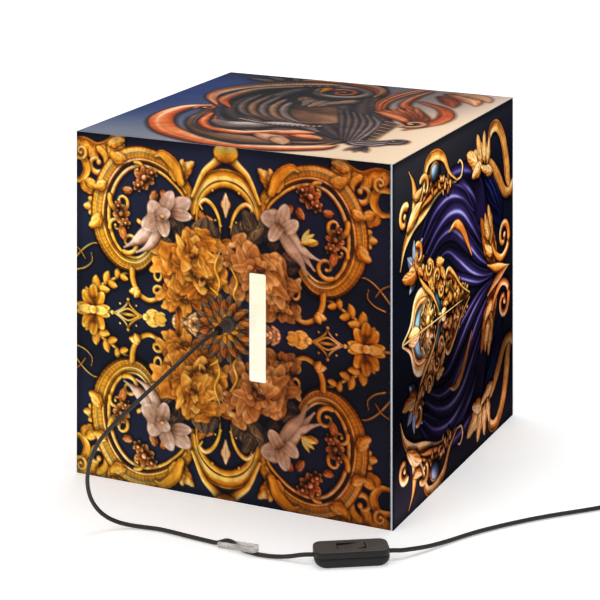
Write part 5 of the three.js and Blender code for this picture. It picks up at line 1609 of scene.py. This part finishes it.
    # upper left scrollwork
    P = cr([(0.052, 0.305), (0.085, 0.245), (0.145, 0.205), (0.23, 0.185), (0.33, 0.155), (0.42, 0.148), (0.50, 0.152)])
    ribbon(c, P, taper(len(P), 0.003, 0.018, 0.003, 0.3), metal(GOLD, "band", lift=0.02))
    P2 = cr([(0.165, 0.185), (0.22, 0.115), (0.255, 0.052), (0.32, 0.040), (0.385, 0.062), (0.43, 0.112), (0.495, 0.150)])
    body = cr([(0.20, 0.165), (0.27, 0.135), (0.36, 0.128), (0.46, 0.146)])
    ribbon(c, body, taper(len(body), 0.012, 0.036, 0.003, 0.35), metal(COPPER, "ridges", lift=-0.2, edge=0.2))
    for i in range(26):
        u = rng.uniform(0, 1)
        px, py = 0.24 + 0.2 * u, 0.075 + 0.07 * u + rng.uniform(-0.02, 0.04)
        s = rng.uniform(0.016, 0.028)
        leaf(c, (px, py), rng.uniform(0, 360), s, s * 0.3, rng.uniform(-60, 60), COPPER, rng.uniform(-0.2, 0.2), n=8, lobes=2)
    ribbon(c, P2, taper(len(P2), 0.008, 0.017, 0.003, 0.5), metal(GOLD, "band", lift=0.05))
    volute(c, 0.238, 0.118, 0.040, 220, 0.75, 0.012, 0.004, GOLD, lift=0.03)
    blob(c, 0.315, 0.088, 0.040, 0.032, 0, dome(COPPER, -0.05))
    blob(c, 0.315, 0.088, 0.031, 0.025, 0, dome(hexes((-0.6, 12, 16, 26), (0.2, 46, 60, 76), (0.6, 96, 118, 136), (0.95, 190, 208, 220)), 0.0))
    P = cr([(0.115, 0.045), (0.148, 0.085), (0.160, 0.130), (0.145, 0.170), (0.11, 0.200)])
    ribbon(c, P, taper(len(P), 0.002, 0.018, 0.004, 0.5), metal(GOLD, "crest", lift=0.1))
    leaf(c, (0.150, 0.125), 10, 0.07, 0.014, -60, GOLD, 0.05, lobes=1)
    volute(c, 0.080, 0.170, 0.036, -60, -0.95, 0.015, 0.006, GOLD, lift=0.05)
    leaf(c, (0.11, 0.205), -35, 0.12, 0.022, 20, GOLD, 0.1, lobes=1)
    P = cr([(0.496, 0.150), (0.53, 0.146), (0.541, 0.118), (0.52, 0.098), (0.503, 0.102)])
    ribbon(c, P, taper(len(P), 0.003, 0.0055, 0.003), metal(COPPER, lift=0.25))
    # leaf cluster, upper right
    P = cr([(0.775, 0.155), (0.775, 0.085), (0.80, 0.058), (0.85, 0.062), (0.90, 0.11), (0.93, 0.18), (0.945, 0.24), (0.985, 0.30)])
    ribbon(c, P, np.interp(np.linspace(0, 1, len(P)), [0, 0.25, 0.55, 0.8, 1], [0.006, 0.018, 0.022, 0.026, 0.008]), metal(GOLD, "band", lift=0.0))
    P = cr([(0.72, 0.140), (0.79, 0.165), (0.85, 0.215), (0.91, 0.275), (0.96, 0.288), (1.0, 0.27)])
    ribbon(c, P, np.interp(np.linspace(0, 1, len(P)), [0, 0.4, 0.8, 1], [0.010, 0.022, 0.017, 0.022]), metal(GOLD, "crest", lift=-0.02))
    for px, py, a, s, ww, cu in ((0.70, 0.142, 196, 0.135, 0.24, 14), (0.71, 0.135, 236, 0.095, 0.26, 20), (0.735, 0.14, 262, 0.09, 0.24, 14), (0.70, 0.155, 172, 0.08, 0.28, -12), (0.76, 0.15, 285, 0.075, 0.22, -10), (0.80, 0.19, 195, 0.11, 0.15, 10)):
        leaf(c, (px, py), a, s, s * ww, cu, GOLD, 0.12, lobes=2)
    # acanthus at the right end of the folds
    for px, py, a, s, ww, cu, lf in ((0.82, 0.475, 252, 0.16, 0.22, -22, 0.0), (0.81, 0.46, 228, 0.19, 0.20, 14, -0.02), (0.80, 0.45, 212, 0.12, 0.22, 24, -0.1), (0.79, 0.40, 262, 0.12, 0.2, -12, 0.12), (0.77, 0.385, 240, 0.09, 0.22, 20, 0.1), (0.80, 0.44, 200, 0.08, 0.2, 30, 0.2)):
        leaf(c, (px, py), a, s, s * ww, cu, COPPER if lf < 0 else GOLD, lf - 0.08, lobes=3)
    P = cr([(0.80, 0.415), (0.835, 0.455), (0.89, 0.478), (0.945, 0.455), (0.955, 0.41)])
    ribbon(c, P, taper(len(P), 0.006, 0.013, 0.014), metal(COPPER, "round", lift=0.05))
    volute(c, 0.905, 0.415, 0.050, 10, -1.05, 0.015, 0.007, COPPER, lift=0.03)
    P = cr([(0.76, 0.47), (0.83, 0.495), (0.90, 0.508), (0.955, 0.515)])
    ribbon(c, P, taper(len(P), 0.004, 0.016, 0.001), metal(COPPER, "round", lift=0.05))
    # line of the reflection
    P = np.array([(0.065, MY), (0.12, MY), (0.20, MY), (0.36, MY), (0.60, MY)])
    ribbon(c, P, [0.001, 0.0034, 0.0030, 0.0016, 0.0004], metal(COPPER, lift=0.12))

    n = int(round(k))
    out = np.zeros((n, n, 3), F32)
    ys = (np.arange(n) + 0.5) / k
    # the reflection mirrors the upper part below the line
    sy = np.where(ys <= MY, ys, 2 * MY - ys)
    jj = np.clip(np.round(sy * k - 0.5).astype(int), 0, c.h - 1)
    out[:] = c.rgb[jj]
    m = smooth(MY - 0.002, MY + 0.01, ys)[:, None, None]
    deep = smooth(0.0, 0.2, ys - MY)[:, None, None] * smooth(0.42, 0.25, ys - MY)[:, None, None]
    lum = out.mean(2, keepdims=True)
    dark = (out * 0.86 + 0.08 * lum) * np.array([0.88, 0.81, 0.89], F32) * (1 - 0.42 * deep)
    out = out * (1 - m) + dark * m
    # darker along the face's four edges
    xs = (np.arange(n) + 0.5) / k
    edge = (smooth(0.03, 0.0, ys) + smooth(0.97, 1.0, ys))[:, None, None] * 0.35
    edge = edge + (smooth(0.02, 0.0, xs) + smooth(0.98, 1.0, xs))[None, :, None] * 0.3
    # duller towards the upper right, a little lighter in the low corner by the edge
    high = smooth(0.52, 0.30, ys)[:, None, None] * smooth(0.50, 0.80, xs)[None, :, None]
    foot = smooth(0.66, 0.78, ys)[:, None, None] * smooth(0.34, 0.14, xs)[None, :, None]
    tail = (smooth(0.53, 0.58, ys) * smooth(0.76, 0.68, ys))[:, None, None] * smooth(0.52, 0.76, xs)[None, :, None]
    gap = smooth(0.70, 0.80, ys)[:, None, None] * (smooth(0.30, 0.42, xs) * smooth(0.72, 0.58, xs))[None, :, None]
    out = out * (1 - high * np.array([0.15, 0.14, 0.04], F32)) * (1 + 0.34 * foot + 0.34 * tail - 0.2 * gap)
    out = np.clip(out, 0, 1) ** 1.12 * 1.08
    return np.clip(out * (1 - np.clip(edge, 0, 0.6)), 0, 1)

def art_top(k, seed=9):
    """The top print: copper and orange ribbons turning round a slate centre, over a blue to peach ground."""
    c = Canvas(k, 1.0, 1.0, 0, 0)
    rng = np.random.RandomState(seed)
    y = c.ys[:, None, None]
    x = c.xs[None, :, None]
    c.carve, c.shade, c.reach = 0.35, 0.34, 0.013
    blue = np.array([26, 48, 100], F32) / 255
    deep = np.array([22, 26, 48], F32) / 255
    grey = np.array([126, 132, 146], F32) / 255
    peach = np.array([250, 222, 188], F32) / 255
    mauve = np.array([196, 172, 164], F32) / 255
    g = smooth(0.0, 0.95, x * 0.9 + y * 0.28 - 0.02)
    c.rgb[:] = blue * (1 - g) + mauve * g
    p = smooth(0.50, 1.05, x * 0.78 + y * 0.62 - 0.08)
    c.rgb[:] = c.rgb * (1 - p) + peach * p
    q = smooth(0.62, 1.0, y) * smooth(0.75, 0.1, x)
    c.rgb[:] = c.rgb * (1 - 0.8 * q) + grey * 0.8 * q
    q = smooth(0.16, 0.0, y) * smooth(0.62, 0.35, x)
    c.rgb[:] = c.rgb * (1 - 0.75 * q) + deep * 0.75 * q
    ground = c.rgb.copy()
    RUST = hexes((-0.7, 20, 12, 14), (-0.2, 66, 30, 18), (0.15, 132, 56, 22), (0.42, 188, 88, 36), (0.62, 216, 118, 56), (0.8, 232, 160, 104), (0.97, 250, 222, 190))
    SLATE = hexes((-0.7, 22, 24, 38), (-0.2, 42, 38, 46), (0.15, 74, 64, 68), (0.42, 106, 93, 92), (0.62, 136, 122, 116), (0.8, 166, 158, 154), (0.97, 200, 204, 210))
    BROWN = hexes((-0.7, 26, 18, 20), (-0.2, 64, 46, 40), (0.15, 102, 76, 60), (0.42, 134, 104, 80), (0.62, 162, 130, 102), (0.8, 192, 162, 132), (0.97, 224, 202, 176))

    def rib(pts, w, pal, kind="round", lift=0.0, **kw):
        P = cr(pts, 12)
        wt = np.interp(np.linspace(0, 1, len(P)), np.linspace(0, 1, len(w)), w)
        ribbon(c, P, wt, metal(pal, kind, lift=lift, **kw))
        return P

    # slate drapery in the middle
    rib([(0.36, 0.10), (0.33, 0.30), (0.36, 0.50), (0.46, 0.62), (0.60, 0.68), (0.74, 0.78)], [0.07, 0.11, 0.13, 0.13, 0.12, 0.05], SLATE, "ridges", -0.28, edge=0.2)
    rib([(0.50, 0.06), (0.54, 0.24), (0.60, 0.42), (0.70, 0.58), (0.77, 0.74)], [0.08, 0.12, 0.14, 0.12, 0.05], SLATE, "ridges", -0.2, edge=0.2)
    blob(c, 0.50, 0.50, 0.17, 0.13, 20, petal(BROWN, -0.05, 2.0, 1.0, 0.1, 0.4), 0.05, 3)
    for i in range(5):
        o = i * 0.035
        rib([(0.26 + o, 0.30), (0.27 + o, 0.44), (0.33 + o, 0.56), (0.44 + o * 0.8, 0.63)], [0.008, 0.017, 0.016, 0.004], BROWN if i % 2 else SLATE, "round", -0.12 + 0.03 * i)
    for i in range(6):
        o = i * 0.026
        rib([(0.58 + o, 0.40 + o * 0.4), (0.64 + o, 0.52 + o * 0.2), (0.70 + o * 0.7, 0.66), (0.76 + o * 0.3, 0.80)], [0.006, 0.013, 0.012, 0.003], SLATE, "round", -0.22 + 0.04 * i)
    for i in range(14):
        u = i / 13.0
        ribbon(c, cr([(0.770 + 0.05 * u, 0.50 + 0.26 * u), (0.815 + 0.02 * u, 0.515 + 0.25 * u)]), 0.0045, metal(BROWN, lift=0.1 - 0.3 * (i % 2)))
    # dark hollow with a slate ring and scroll, top centre
    blob(c, 0.46, 0.235, 0.115, 0.14, 10, petal(SLATE, -0.42, 2.5, 2.0, 0.1, 0.3), 0.03, 3)
    rib([(0.40, 0.16), (0.42, 0.10), (0.50, 0.085), (0.565, 0.13), (0.56, 0.20), (0.50, 0.235), (0.43, 0.22), (0.40, 0.16)], [0.022, 0.026, 0.03, 0.028, 0.026, 0.026, 0.022, 0.022], SLATE, "round", -0.05)
    volute(c, 0.485, 0.165, 0.055, 200, 1.2, 0.013, 0.006, RUST, lift=-0.1)
    for i, (px, py, a) in enumerate(((0.40, 0.27, 60), (0.44, 0.29, 80), (0.49, 0.30, 95), (0.54, 0.29, 110), (0.58, 0.26, 125))):
        leaf(c, (px, py), a, 0.11, 0.026, 10, SLATE if i % 2 else BROWN, -0.1, lobes=2)
    rib([(0.36, 0.13), (0.39, 0.09), (0.415, 0.13), (0.415, 0.18)], [0.008, 0.020, 0.020, 0.006], GOLD, "crest", -0.05)
    # left fan of copper plumes, ringed like a wing
    for i in range(9):
        u = i / 8.0
        a0 = 205 - 62 * u
        x0, y0 = 0.42 - 0.10 * u, 0.075 + 0.05 * u
        rib([(x0, y0), (0.30 - 0.09 * u, 0.13 + 0.10 * u), (0.20 - 0.045 * u + 0.03, 0.23 + 0.18 * u), (0.155 + 0.10 * u, 0.34 + 0.17 * u)], [0.010, 0.026, 0.026, 0.003], RUST if i % 2 == 0 else SLATE, "round", 0.0 if i % 2 == 0 else -0.35)
    P = rib([(0.46, 0.035), (0.36, 0.055), (0.24, 0.12), (0.155, 0.21), (0.118, 0.31), (0.135, 0.40), (0.20, 0.49)], [0.014, 0.024, 0.028, 0.026, 0.024, 0.018, 0.004], RUST, "band", 0.12, hatch=0.16, freq=52)
    # crown of ribbons at the back
    rib([(0.28, 0.03), (0.36, 0.012), (0.46, 0.02), (0.55, 0.055), (0.60, 0.12), (0.60, 0.18)], [0.008, 0.022, 0.030, 0.028, 0.020, 0.004], RUST, "crest", 0.05)
    rib([(0.42, 0.0), (0.52, 0.022), (0.585, 0.075), (0.60, 0.15)], [0.012, 0.018, 0.014, 0.003], CREAM, "round", -0.05)
    for px, py, a, s in ((0.20, 0.09, 200, 0.09), (0.22, 0.06, 220, 0.08), (0.27, 0.05, 240, 0.06)):
        leaf(c, (px, py), a, s, s * 0.2, -30, BROWN, -0.15, lobes=2)
    # right-hand plumes
    rib([(0.70, 0.0), (0.665, 0.12), (0.66, 0.25), (0.70, 0.37), (0.74, 0.44)], [0.022, 0.026, 0.022, 0.014, 0.003], RUST, "ridges", 0.0, edge=0.4)
    rib([(0.735, 0.03), (0.72, 0.14), (0.735, 0.26), (0.80, 0.34), (0.86, 0.44), (0.84, 0.55)], [0.006, 0.014, 0.018, 0.022, 0.028, 0.006], RUST, "crest", 0.02)
    for i in range(7):
        u = i / 6.0
        leaf(c, (0.86 - 0.03 * u, 0.52 - 0.04 * u), 258 - 34 * u, 0.26 - 0.08 * u, 0.022, -16 - 10 * u, RUST, 0.08 - 0.12 * (i % 2), lobes=1, depth=0.05)
    rib([(0.76, 0.19), (0.86, 0.26), (0.91, 0.36), (0.91, 0.46), (0.865, 0.585)], [0.008, 0.020, 0.026, 0.026, 0.004], RUST, "band", -0.05)
    for px, py, a, s, cu, pal, lf in ((0.80, 0.045, 20, 0.20, 60, RUST, 0.25), (0.79, 0.09, 45, 0.17, 26, RUST, -0.25), (0.82, 0.03, 2, 0.17, 70, CREAM, 0.0)):
        leaf(c, (px, py), a, s, s * 0.16, cu, pal, lf, lobes=1, depth=0.08)
    volute(c, 0.86, 0.50, 0.045, 90, -0.9, 0.013, 0.006, CREAM, lift=-0.05)
    # great lower sweep, over a dark swell
    rib([(0.26, 0.70), (0.34, 0.80), (0.46, 0.87), (0.58, 0.885), (0.69, 0.86), (0.75, 0.80)], [0.02, 0.06, 0.075, 0.075, 0.06, 0.01], BROWN, "ridges", -0.42, edge=0.3)
    rib([(0.185, 0.515), (0.135, 0.565), (0.125, 0.67), (0.155, 0.77), (0.235, 0.875), (0.36, 0.945), (0.50, 0.975), (0.63, 0.955), (0.735, 0.90), (0.765, 0.855)],
        [0.014, 0.030, 0.036, 0.042, 0.044, 0.040, 0.036, 0.036, 0.030, 0.004], RUST, "crest", 0.10)
    rib([(0.19, 0.53), (0.225, 0.60), (0.235, 0.70), (0.29, 0.80), (0.38, 0.865), (0.50, 0.90), (0.62, 0.89)], [0.008, 0.022, 0.024, 0.03, 0.05, 0.055, 0.02], BROWN, "round", -0.18)
    for i in range(5):
        o = i * 0.014
        rib([(0.215 + o, 0.58 + o), (0.235 + o, 0.68), (0.27 + o, 0.77), (0.33 + o, 0.84)], [0.003, 0.008, 0.009, 0.003], (SLATE, RUST, CREAM)[i % 3], "round", -0.1)
    rib([(0.245, 0.61), (0.275, 0.72), (0.35, 0.80), (0.45, 0.815), (0.53, 0.765), (0.60, 0.745), (0.655, 0.775)], [0.006, 0.020, 0.024, 0.024, 0.022, 0.020, 0.006], RUST, "crest", 0.06)
    for i, (px, py, a, s) in enumerate(((0.52, 0.80, -10, 0.12), (0.50, 0.815, 18, 0.13), (0.54, 0.78, -34, 0.12), (0.56, 0.83, 40, 0.10), (0.60, 0.79, -6, 0.10))):
        leaf(c, (px, py), a, s, s * 0.26, 26, CREAM if i % 2 else RUST, 0.02, lobes=1, depth=0.08)
    # smooth slate swell between
    rib([(0.30, 0.70), (0.36, 0.735), (0.43, 0.72), (0.50, 0.675), (0.58, 0.67), (0.64, 0.71)], [0.02, 0.05, 0.055, 0.04, 0.026, 0.01], SLATE, "round", 0.0)
    volute(c, 0.195, 0.545, 0.036, 150, 1.0, 0.012, 0.006, RUST, lift=-0.1)
    # bead strings and a scroll finial at the right
    for i in range(18):
        u = i / 17.0
        blob(c, 0.36 + 0.26 * u, 0.645 + 0.03 * np.sin(u * 3.1), 0.008, 0.008, 0, dome(BROWN, 0.15))
    rib([(0.81, 0.80), (0.85, 0.79), (0.89, 0.75), (0.925, 0.72)], [0.034, 0.036, 0.024, 0.006], SLATE, "ridges", -0.15, edge=0.4)
    volute(c, 0.90, 0.735, 0.036, 90, -0.9, 0.013, 0.005, SLATE, lift=-0.15)
    for a in (70, 95, 120):
        leaf(c, (0.84, 0.83), a, 0.075, 0.012, -20, SLATE, -0.2, lobes=1)
    # the forms are deep and warm against the pale ground
    form = np.clip(np.abs(c.rgb - ground).sum(2, keepdims=True) * 12, 0, 1)
    deep_ = np.clip(c.rgb, 0, 1) ** 1.18 * np.array([1.05, 0.965, 0.94], F32)
    # brushed softly rather than engraved
    a = c.rgb * (1 - form) + deep_ * form
    for s in (1, 1):
        p = np.pad(a, ((s, s), (s, s), (0, 0)), mode="edge")
        a = (p[:-2 * s, s:-s] + p[2 * s:, s:-s] + p[s:-s, :-2 * s] + p[s:-s, 2 * s:] + 2 * a) / 6
    # darker towards the back on the forms there, and across the middle
    ys = (np.arange(a.shape[0]) + 0.5) / k
    xs = (np.arange(a.shape[1]) + 0.5) / k
    mid = (smooth(0.06, 0.20, xs) * smooth(1.02, 0.80, xs))[None, :, None]
    back = (smooth(0.45, 0.25, xs)[None, :] * smooth(0.50, 0.30, ys)[:, None])[..., None] * form
    a = a * (1 - back * np.array([0.22, 0.12, 0.06], F32))
    return np.clip(a * (1 - mid * (0.34 - 0.28 * smooth(0.08, 0.62, ys)[:, None, None])), 0, 1)

# ---------------------------------------------------------------- prints


def rear_art(k):
    """The rear face repeats the scrollwork the other way round, in the browner gold."""
    a = art_front(k, seed=17)[:, ::-1]
    return np.clip(a * np.array([0.94, 0.88, 0.90], F32), 0, 1)


def left_art(k):
    """The left face repeats the silk and leafwork, turned round, with the blue drawn into the violet."""
    a = art_right(k, seed=23)[:, ::-1]
    m = np.array([[0.94, 0.03, 0.03], [0.03, 0.95, 0.02], [0.0, 0.05, 0.97]], F32)
    return np.clip(a @ m.T, 0, 1)


def linear(c):
    return np.where(c <= 0.04045, c / 12.92, ((c + 0.055) / 1.055) ** 2.4)


def blur2(a, n=1):
    for _ in range(n):
        p = np.pad(a, ((1, 1), (1, 1), (0, 0)), mode="edge")
        a = (p[:-2, 1:-1] + p[2:, 1:-1] + p[1:-1, :-2] + p[1:-1, 2:] + 4 * p[1:-1, 1:-1]) / 8
    return a


def sampler(art, n):
    """Colours at the points of an n by n grid, each the mean of the cell round it, a little crisper."""
    big = art(2 * n)
    soft = blur2(big, 3)
    big = np.clip(big + 0.55 * (big - soft), 0, 1)
    p = np.pad(big, ((1, 1), (1, 1), (0, 0)), mode="edge")
    m = linear((p[0::2, 0::2] + p[1::2, 0::2] + p[0::2, 1::2] + p[1::2, 1::2]) / 4)   # (n+1, n+1)

    def at(u, v):
        x = np.clip(u * n, 0, n - 1e-6)
        y = np.clip(v * n, 0, n - 1e-6)
        i, j = x.astype(int), y.astype(int)
        fx, fy = (x - i)[..., None], (y - j)[..., None]
        return (m[j, i] * (1 - fx) + m[j, i + 1] * fx) * (1 - fy) + (m[j + 1, i] * (1 - fx) + m[j + 1, i + 1] * fx) * fy
    return at


FILM = 0.12  # ink and its clear base, mm


def film(name, art, n, corner, ex, ey, nx, span, mat, body, holes=(), gain=(1, 1, 1), face=(0, 0, 300, 300)):
    """A printed layer on a panel: a fine grid whose points carry the print's colours, closed at the back.
    corner is where the art's upper left lies, in mm; ex runs right, ey down and nx out; span is (u0, v0, u1, v1) in mm on the face;
    holes are functions giving a signed distance in mm, below 0 inside, and their gradient's nearest point."""
    at = sampler(art, n)
    u0, v0, u1, v1 = span
    nu = int(round((u1 - u0) / 300 * n))
    nv = int(round((v1 - v0) / 300 * n))
    U, V = np.meshgrid(np.linspace(u0, u1, nu + 1), np.linspace(v0, v1, nv + 1))
    cu = (U[:-1, :-1] + U[1:, 1:]) / 2
    cv = (V[:-1, :-1] + V[1:, 1:]) / 2
    keep = np.ones(cu.shape, bool)
    for h in holes:
        keep &= h(cu, cv)[0] > 0
    idx = np.arange((nu + 1) * (nv + 1)).reshape(nv + 1, nu + 1)
    a, b, c, d = idx[:-1, :-1][keep], idx[:-1, 1:][keep], idx[1:, 1:][keep], idx[1:, :-1][keep]
    quads = np.stack([a, d, c, b], 1)
    used = np.unique(quads)
    remap = np.full(idx.size, -1)
    remap[used] = np.arange(len(used))
    quads = remap[quads]
    Uf, Vf = U.ravel()[used].copy(), V.ravel()[used].copy()
    # edges with one face are the outline; near a hole they move onto its true edge
    e = np.concatenate([quads[:, [0, 1]], quads[:, [1, 2]], quads[:, [2, 3]], quads[:, [3, 0]]])
    key = np.sort(e, 1)
    uniq, first, count = np.unique(key, axis=0, return_index=True, return_counts=True)
    border = e[first[count == 1]]
    bv = np.unique(border)
    for h in holes:
        dist, pu, pv = h(Uf[bv], Vf[bv])
        near = np.abs(dist) < 1.6 * 300 / n
        Uf[bv[near]] = pu[near]
        Vf[bv[near]] = pv[near]
    ex, ey, nx, corner = (np.asarray(t, float) for t in (ex, ey, nx, corner))
    P = corner + Uf[:, None] * ex + Vf[:, None] * ey
    top = P + nx * FILM
    low = P[bv] + nx * 0.01
    nt = len(top)
    lowmap = np.full(nt, -1)
    lowmap[bv] = nt + np.arange(len(bv))
    walls = np.stack([border[:, 1], border[:, 0], lowmap[border[:, 0]], lowmap[border[:, 1]]], 1)
    # the back, filled between the outlines
    bm = bmesh.new()
    vs = [bm.verts.new(p) for p in low]
    where = {int(i): vs[k] for k, i in enumerate(bv)}
    es = [bm.edges.new((where[int(x)], where[int(y)])) for x, y in border]
    bm.verts.index_update()
    r = bmesh.ops.triangle_fill(bm, use_beauty=False, use_dissolve=False, edges=es, normal=tuple(-nx))
    bm.verts.index_update()
    backs = [[v.index for v in f.verts] for f in bm.faces]
    bm.free()
    tri = np.array(backs, int).reshape(-1, 3) + nt
    # turn the back's faces away from the panel's print side
    pts = np.vstack([top, low])
    nn = np.cross(pts[tri[:, 1]] - pts[tri[:, 0]], pts[tri[:, 2]] - pts[tri[:, 0]]) @ nx
    tri[nn > 0] = tri[nn > 0][:, ::-1]
    q = pts[quads[:4]]
    if (np.cross(q[0, 1] - q[0, 0], q[0, 2] - q[0, 0]) @ nx) < 0:
        quads = quads[:, ::-1]
        walls = walls[:, ::-1]
    me = bpy.data.meshes.new(name)
    loops = np.concatenate([quads.ravel(), walls.ravel(), tri.ravel()])
    starts = np.concatenate([np.arange(len(quads) + len(walls)) * 4, (len(quads) + len(walls)) * 4 + np.arange(len(tri)) * 3])
    me.vertices.add(len(pts))
    me.vertices.foreach_set("co", (pts * MM).ravel().astype(np.float32))
    me.loops.add(len(loops))
    me.loops.foreach_set("vertex_index", loops.astype(np.int32))
    me.polygons.add(len(starts))
    me.polygons.foreach_set("loop_start", starts.astype(np.int32))
    me.update(calc_edges=True)
    me.validate()
    # colours: the print on the top, on its edge and on the back
    col = np.ones((len(pts), 4), np.float32)
    col[:nt, :3] = at(Uf / 300, Vf / 300) * np.asarray(gain)
    col[nt:, :3] = at(Uf[bv] / 300, Vf[bv] / 300) * np.asarray(gain)
    layer = me.color_attributes.new("Art", "FLOAT_COLOR", "POINT")
    layer.data.foreach_set("color", col.ravel())
    uv = me.uv_layers.new(name="UVMap")
    UVs = np.vstack([np.stack([Uf / 300, 1 - Vf / 300], 1), np.stack([Uf[bv] / 300, 1 - Vf[bv] / 300], 1)])
    li = np.empty(len(me.loops), np.int32)
    me.loops.foreach_get("vertex_index", li)
    uvs = UVs[li].astype(np.float32)
    ls = np.zeros(len(me.polygons), np.int32)
    me.polygons.foreach_get("loop_start", ls)
    # the back's island stands beside the print's
    nloop_front = (len(quads)) * 4
    uvs[:, 0] *= 0.49
    uvs[nloop_front:, 0] += 0.505
    uv.data.foreach_set("uv", uvs.ravel())
    me.materials.append(mat)
    o = bpy.data.objects.new(name, me)
    SC.collection.objects.link(o)
    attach(o, body)
    return o


def rounded_slot(x0, z0, x1, z1, r):
    """Signed distance and nearest edge point of the slot, in face coordinates (u right, v down)."""
    cu, cv, hu, hv = (x0 + x1) / 2, (z0 + z1) / 2, (x1 - x0) / 2, (z1 - z0) / 2

    def f(u, v):
        pu, pv = u - cu, v - cv
        qu, qv = np.abs(pu) - (hu - r), np.abs(pv) - (hv - r)
        out = np.hypot(np.maximum(qu, 0), np.maximum(qv, 0))
        d = out + np.minimum(np.maximum(qu, qv), 0) - r
        su, sv = np.where(pu >= 0, 1, -1), np.where(pv >= 0, 1, -1)
        corner = (qu > 0) & (qv > 0)
        o2 = np.maximum(out, 1e-9)
        nu_ = np.where(corner, np.maximum(qu, 0) / o2, (qu > qv).astype(float))
        nv_ = np.where(corner, np.maximum(qv, 0) / o2, (qu <= qv).astype(float))
        return d, u - d * nu_ * su, v - d * nv_ * sv
    return f


def round_hole(cu, cv, r):
    def f(u, v):
        pu, pv = u - cu, v - cv
        m = np.maximum(np.hypot(pu, pv), 1e-9)
        return m - r, cu + pu / m * r, cv + pv / m * r
    return f


FINE = 400
front_holes = [rounded_slot(168.9, 300 - 195.8, 184.4, 300 - 104.4, 1.5), round_hole(150, 150, 5.4)]
print_front = film("print_front", art_front, FINE, (-150, -150, 300), (1, 0, 0), (0, 0, -1), (0, -1, 0), (0.05, 0.05, 297.65, 299.95), MAT["print_front"], "service_panel",
                   front_holes)
print_right = film("print_right", art_right, FINE, (150, -150, 300), (0, 1, 0), (0, 0, -1), (1, 0, 0), (0.05, 0.05, 297.65, 299.95), MAT["print_right"], "shell")
print_top = film("print_top", art_top, FINE, (-150, 150, 300), (1, 0, 0), (0, -1, 0), (0, 0, 1), (0.3, 0.3, 299.7, 297.6), MAT["print_top"], "shell")
print_top_strip = film("print_top_strip", art_top, FINE, (-150, 150, 300), (1, 0, 0), (0, -1, 0), (0, 0, 1), (0.3, 298.05, 297.6, 299.75), MAT["print_top"], "service_panel")
print_rear = film("print_rear", rear_art, 320, (150, 150, 300), (-1, 0, 0), (0, 0, -1), (0, 1, 0), (0.05, 0.05, 297.65, 299.95), MAT["print_rear"], "shell")
print_left = film("print_left", left_art, 320, (-150, 150, 300), (0, -1, 0), (0, 0, -1), (-1, 0, 0), (0.05, 0.05, 297.65, 299.95), MAT["print_left"], "shell")

# ---------------------------------------------------------------- floor and light
m = Mat("floor_paper_painted_shade")
m.to(m.mix(m.range(m.noise(1.2, 3), 0, 1), (0.84, 0.84, 0.84), (0.86, 0.86, 0.86)), "Base Color")
m.to(m.range(m.noise(60, 3), 0.85, 0.95), "Roughness")
# the paper glows a little, evenly far out and less near the lamp: painted shade round the lamp's foot
geo = m.node("ShaderNodeNewGeometry")
far = m.node("ShaderNodeVectorMath")
far.operation = "LENGTH"
m.link(geo.outputs["Position"], far.inputs[0])
near = m.mix(m.range(m.noise(1.2, 3), 0, 1), (0.655, 0.655, 0.655), (0.665, 0.665, 0.665))
m.to(m.mix(m.range(far.outputs["Value"], 0, 1, 0.7, 1.9), near, (1, 1, 1)), "Emission Color")
m.set(Emission_Strength=0.62, Specular_IOR_Level=0.0)
floor_me = bpy.data.meshes.new("floor")
g = 12
fv = [(-6 + 12 * i / g, -6 + 12 * j / g, -0.0002) for j in range(g + 1) for i in range(g + 1)]
ff = [(j * (g + 1) + i, j * (g + 1) + i + 1, (j + 1) * (g + 1) + i + 1, (j + 1) * (g + 1) + i) for j in range(g) for i in range(g)]
floor_me.from_pydata(fv, [], ff)
floor_me.materials.append(m.m)
floor = bpy.data.objects.new("floor", floor_me)
SC.collection.objects.link(floor)

world = bpy.data.worlds.new("studio")
SC.world = world
world.use_nodes = True
bg = world.node_tree.nodes["Background"]
bg.inputs["Color"].default_value = (1.0, 1.0, 1.0, 1)
bg.inputs["Strength"].default_value = 0.43


def area(name, at, to, size, energy, colour=(1, 1, 1)):
    l = bpy.data.lights.new(name, "AREA")
    l.shape = "DISK"
    l.size = size
    l.energy = energy
    l.color = colour
    o = bpy.data.objects.new(name, l)
    SC.collection.objects.link(o)
    o.matrix_world = Matrix.Translation(at) @ (Vector(to) - Vector(at)).to_track_quat("-Z", "Y").to_matrix().to_4x4()
    return o


area("key", (-0.06, 0.52, 2.6), (0, 0, 0.1), 1.4, 31)
area("fill", (-1.0, -2.3, 2.2), (0, 0, 0.1), 1.6, 18)
SC.view_settings.view_transform = "Standard"
SC.view_settings.look = "None"
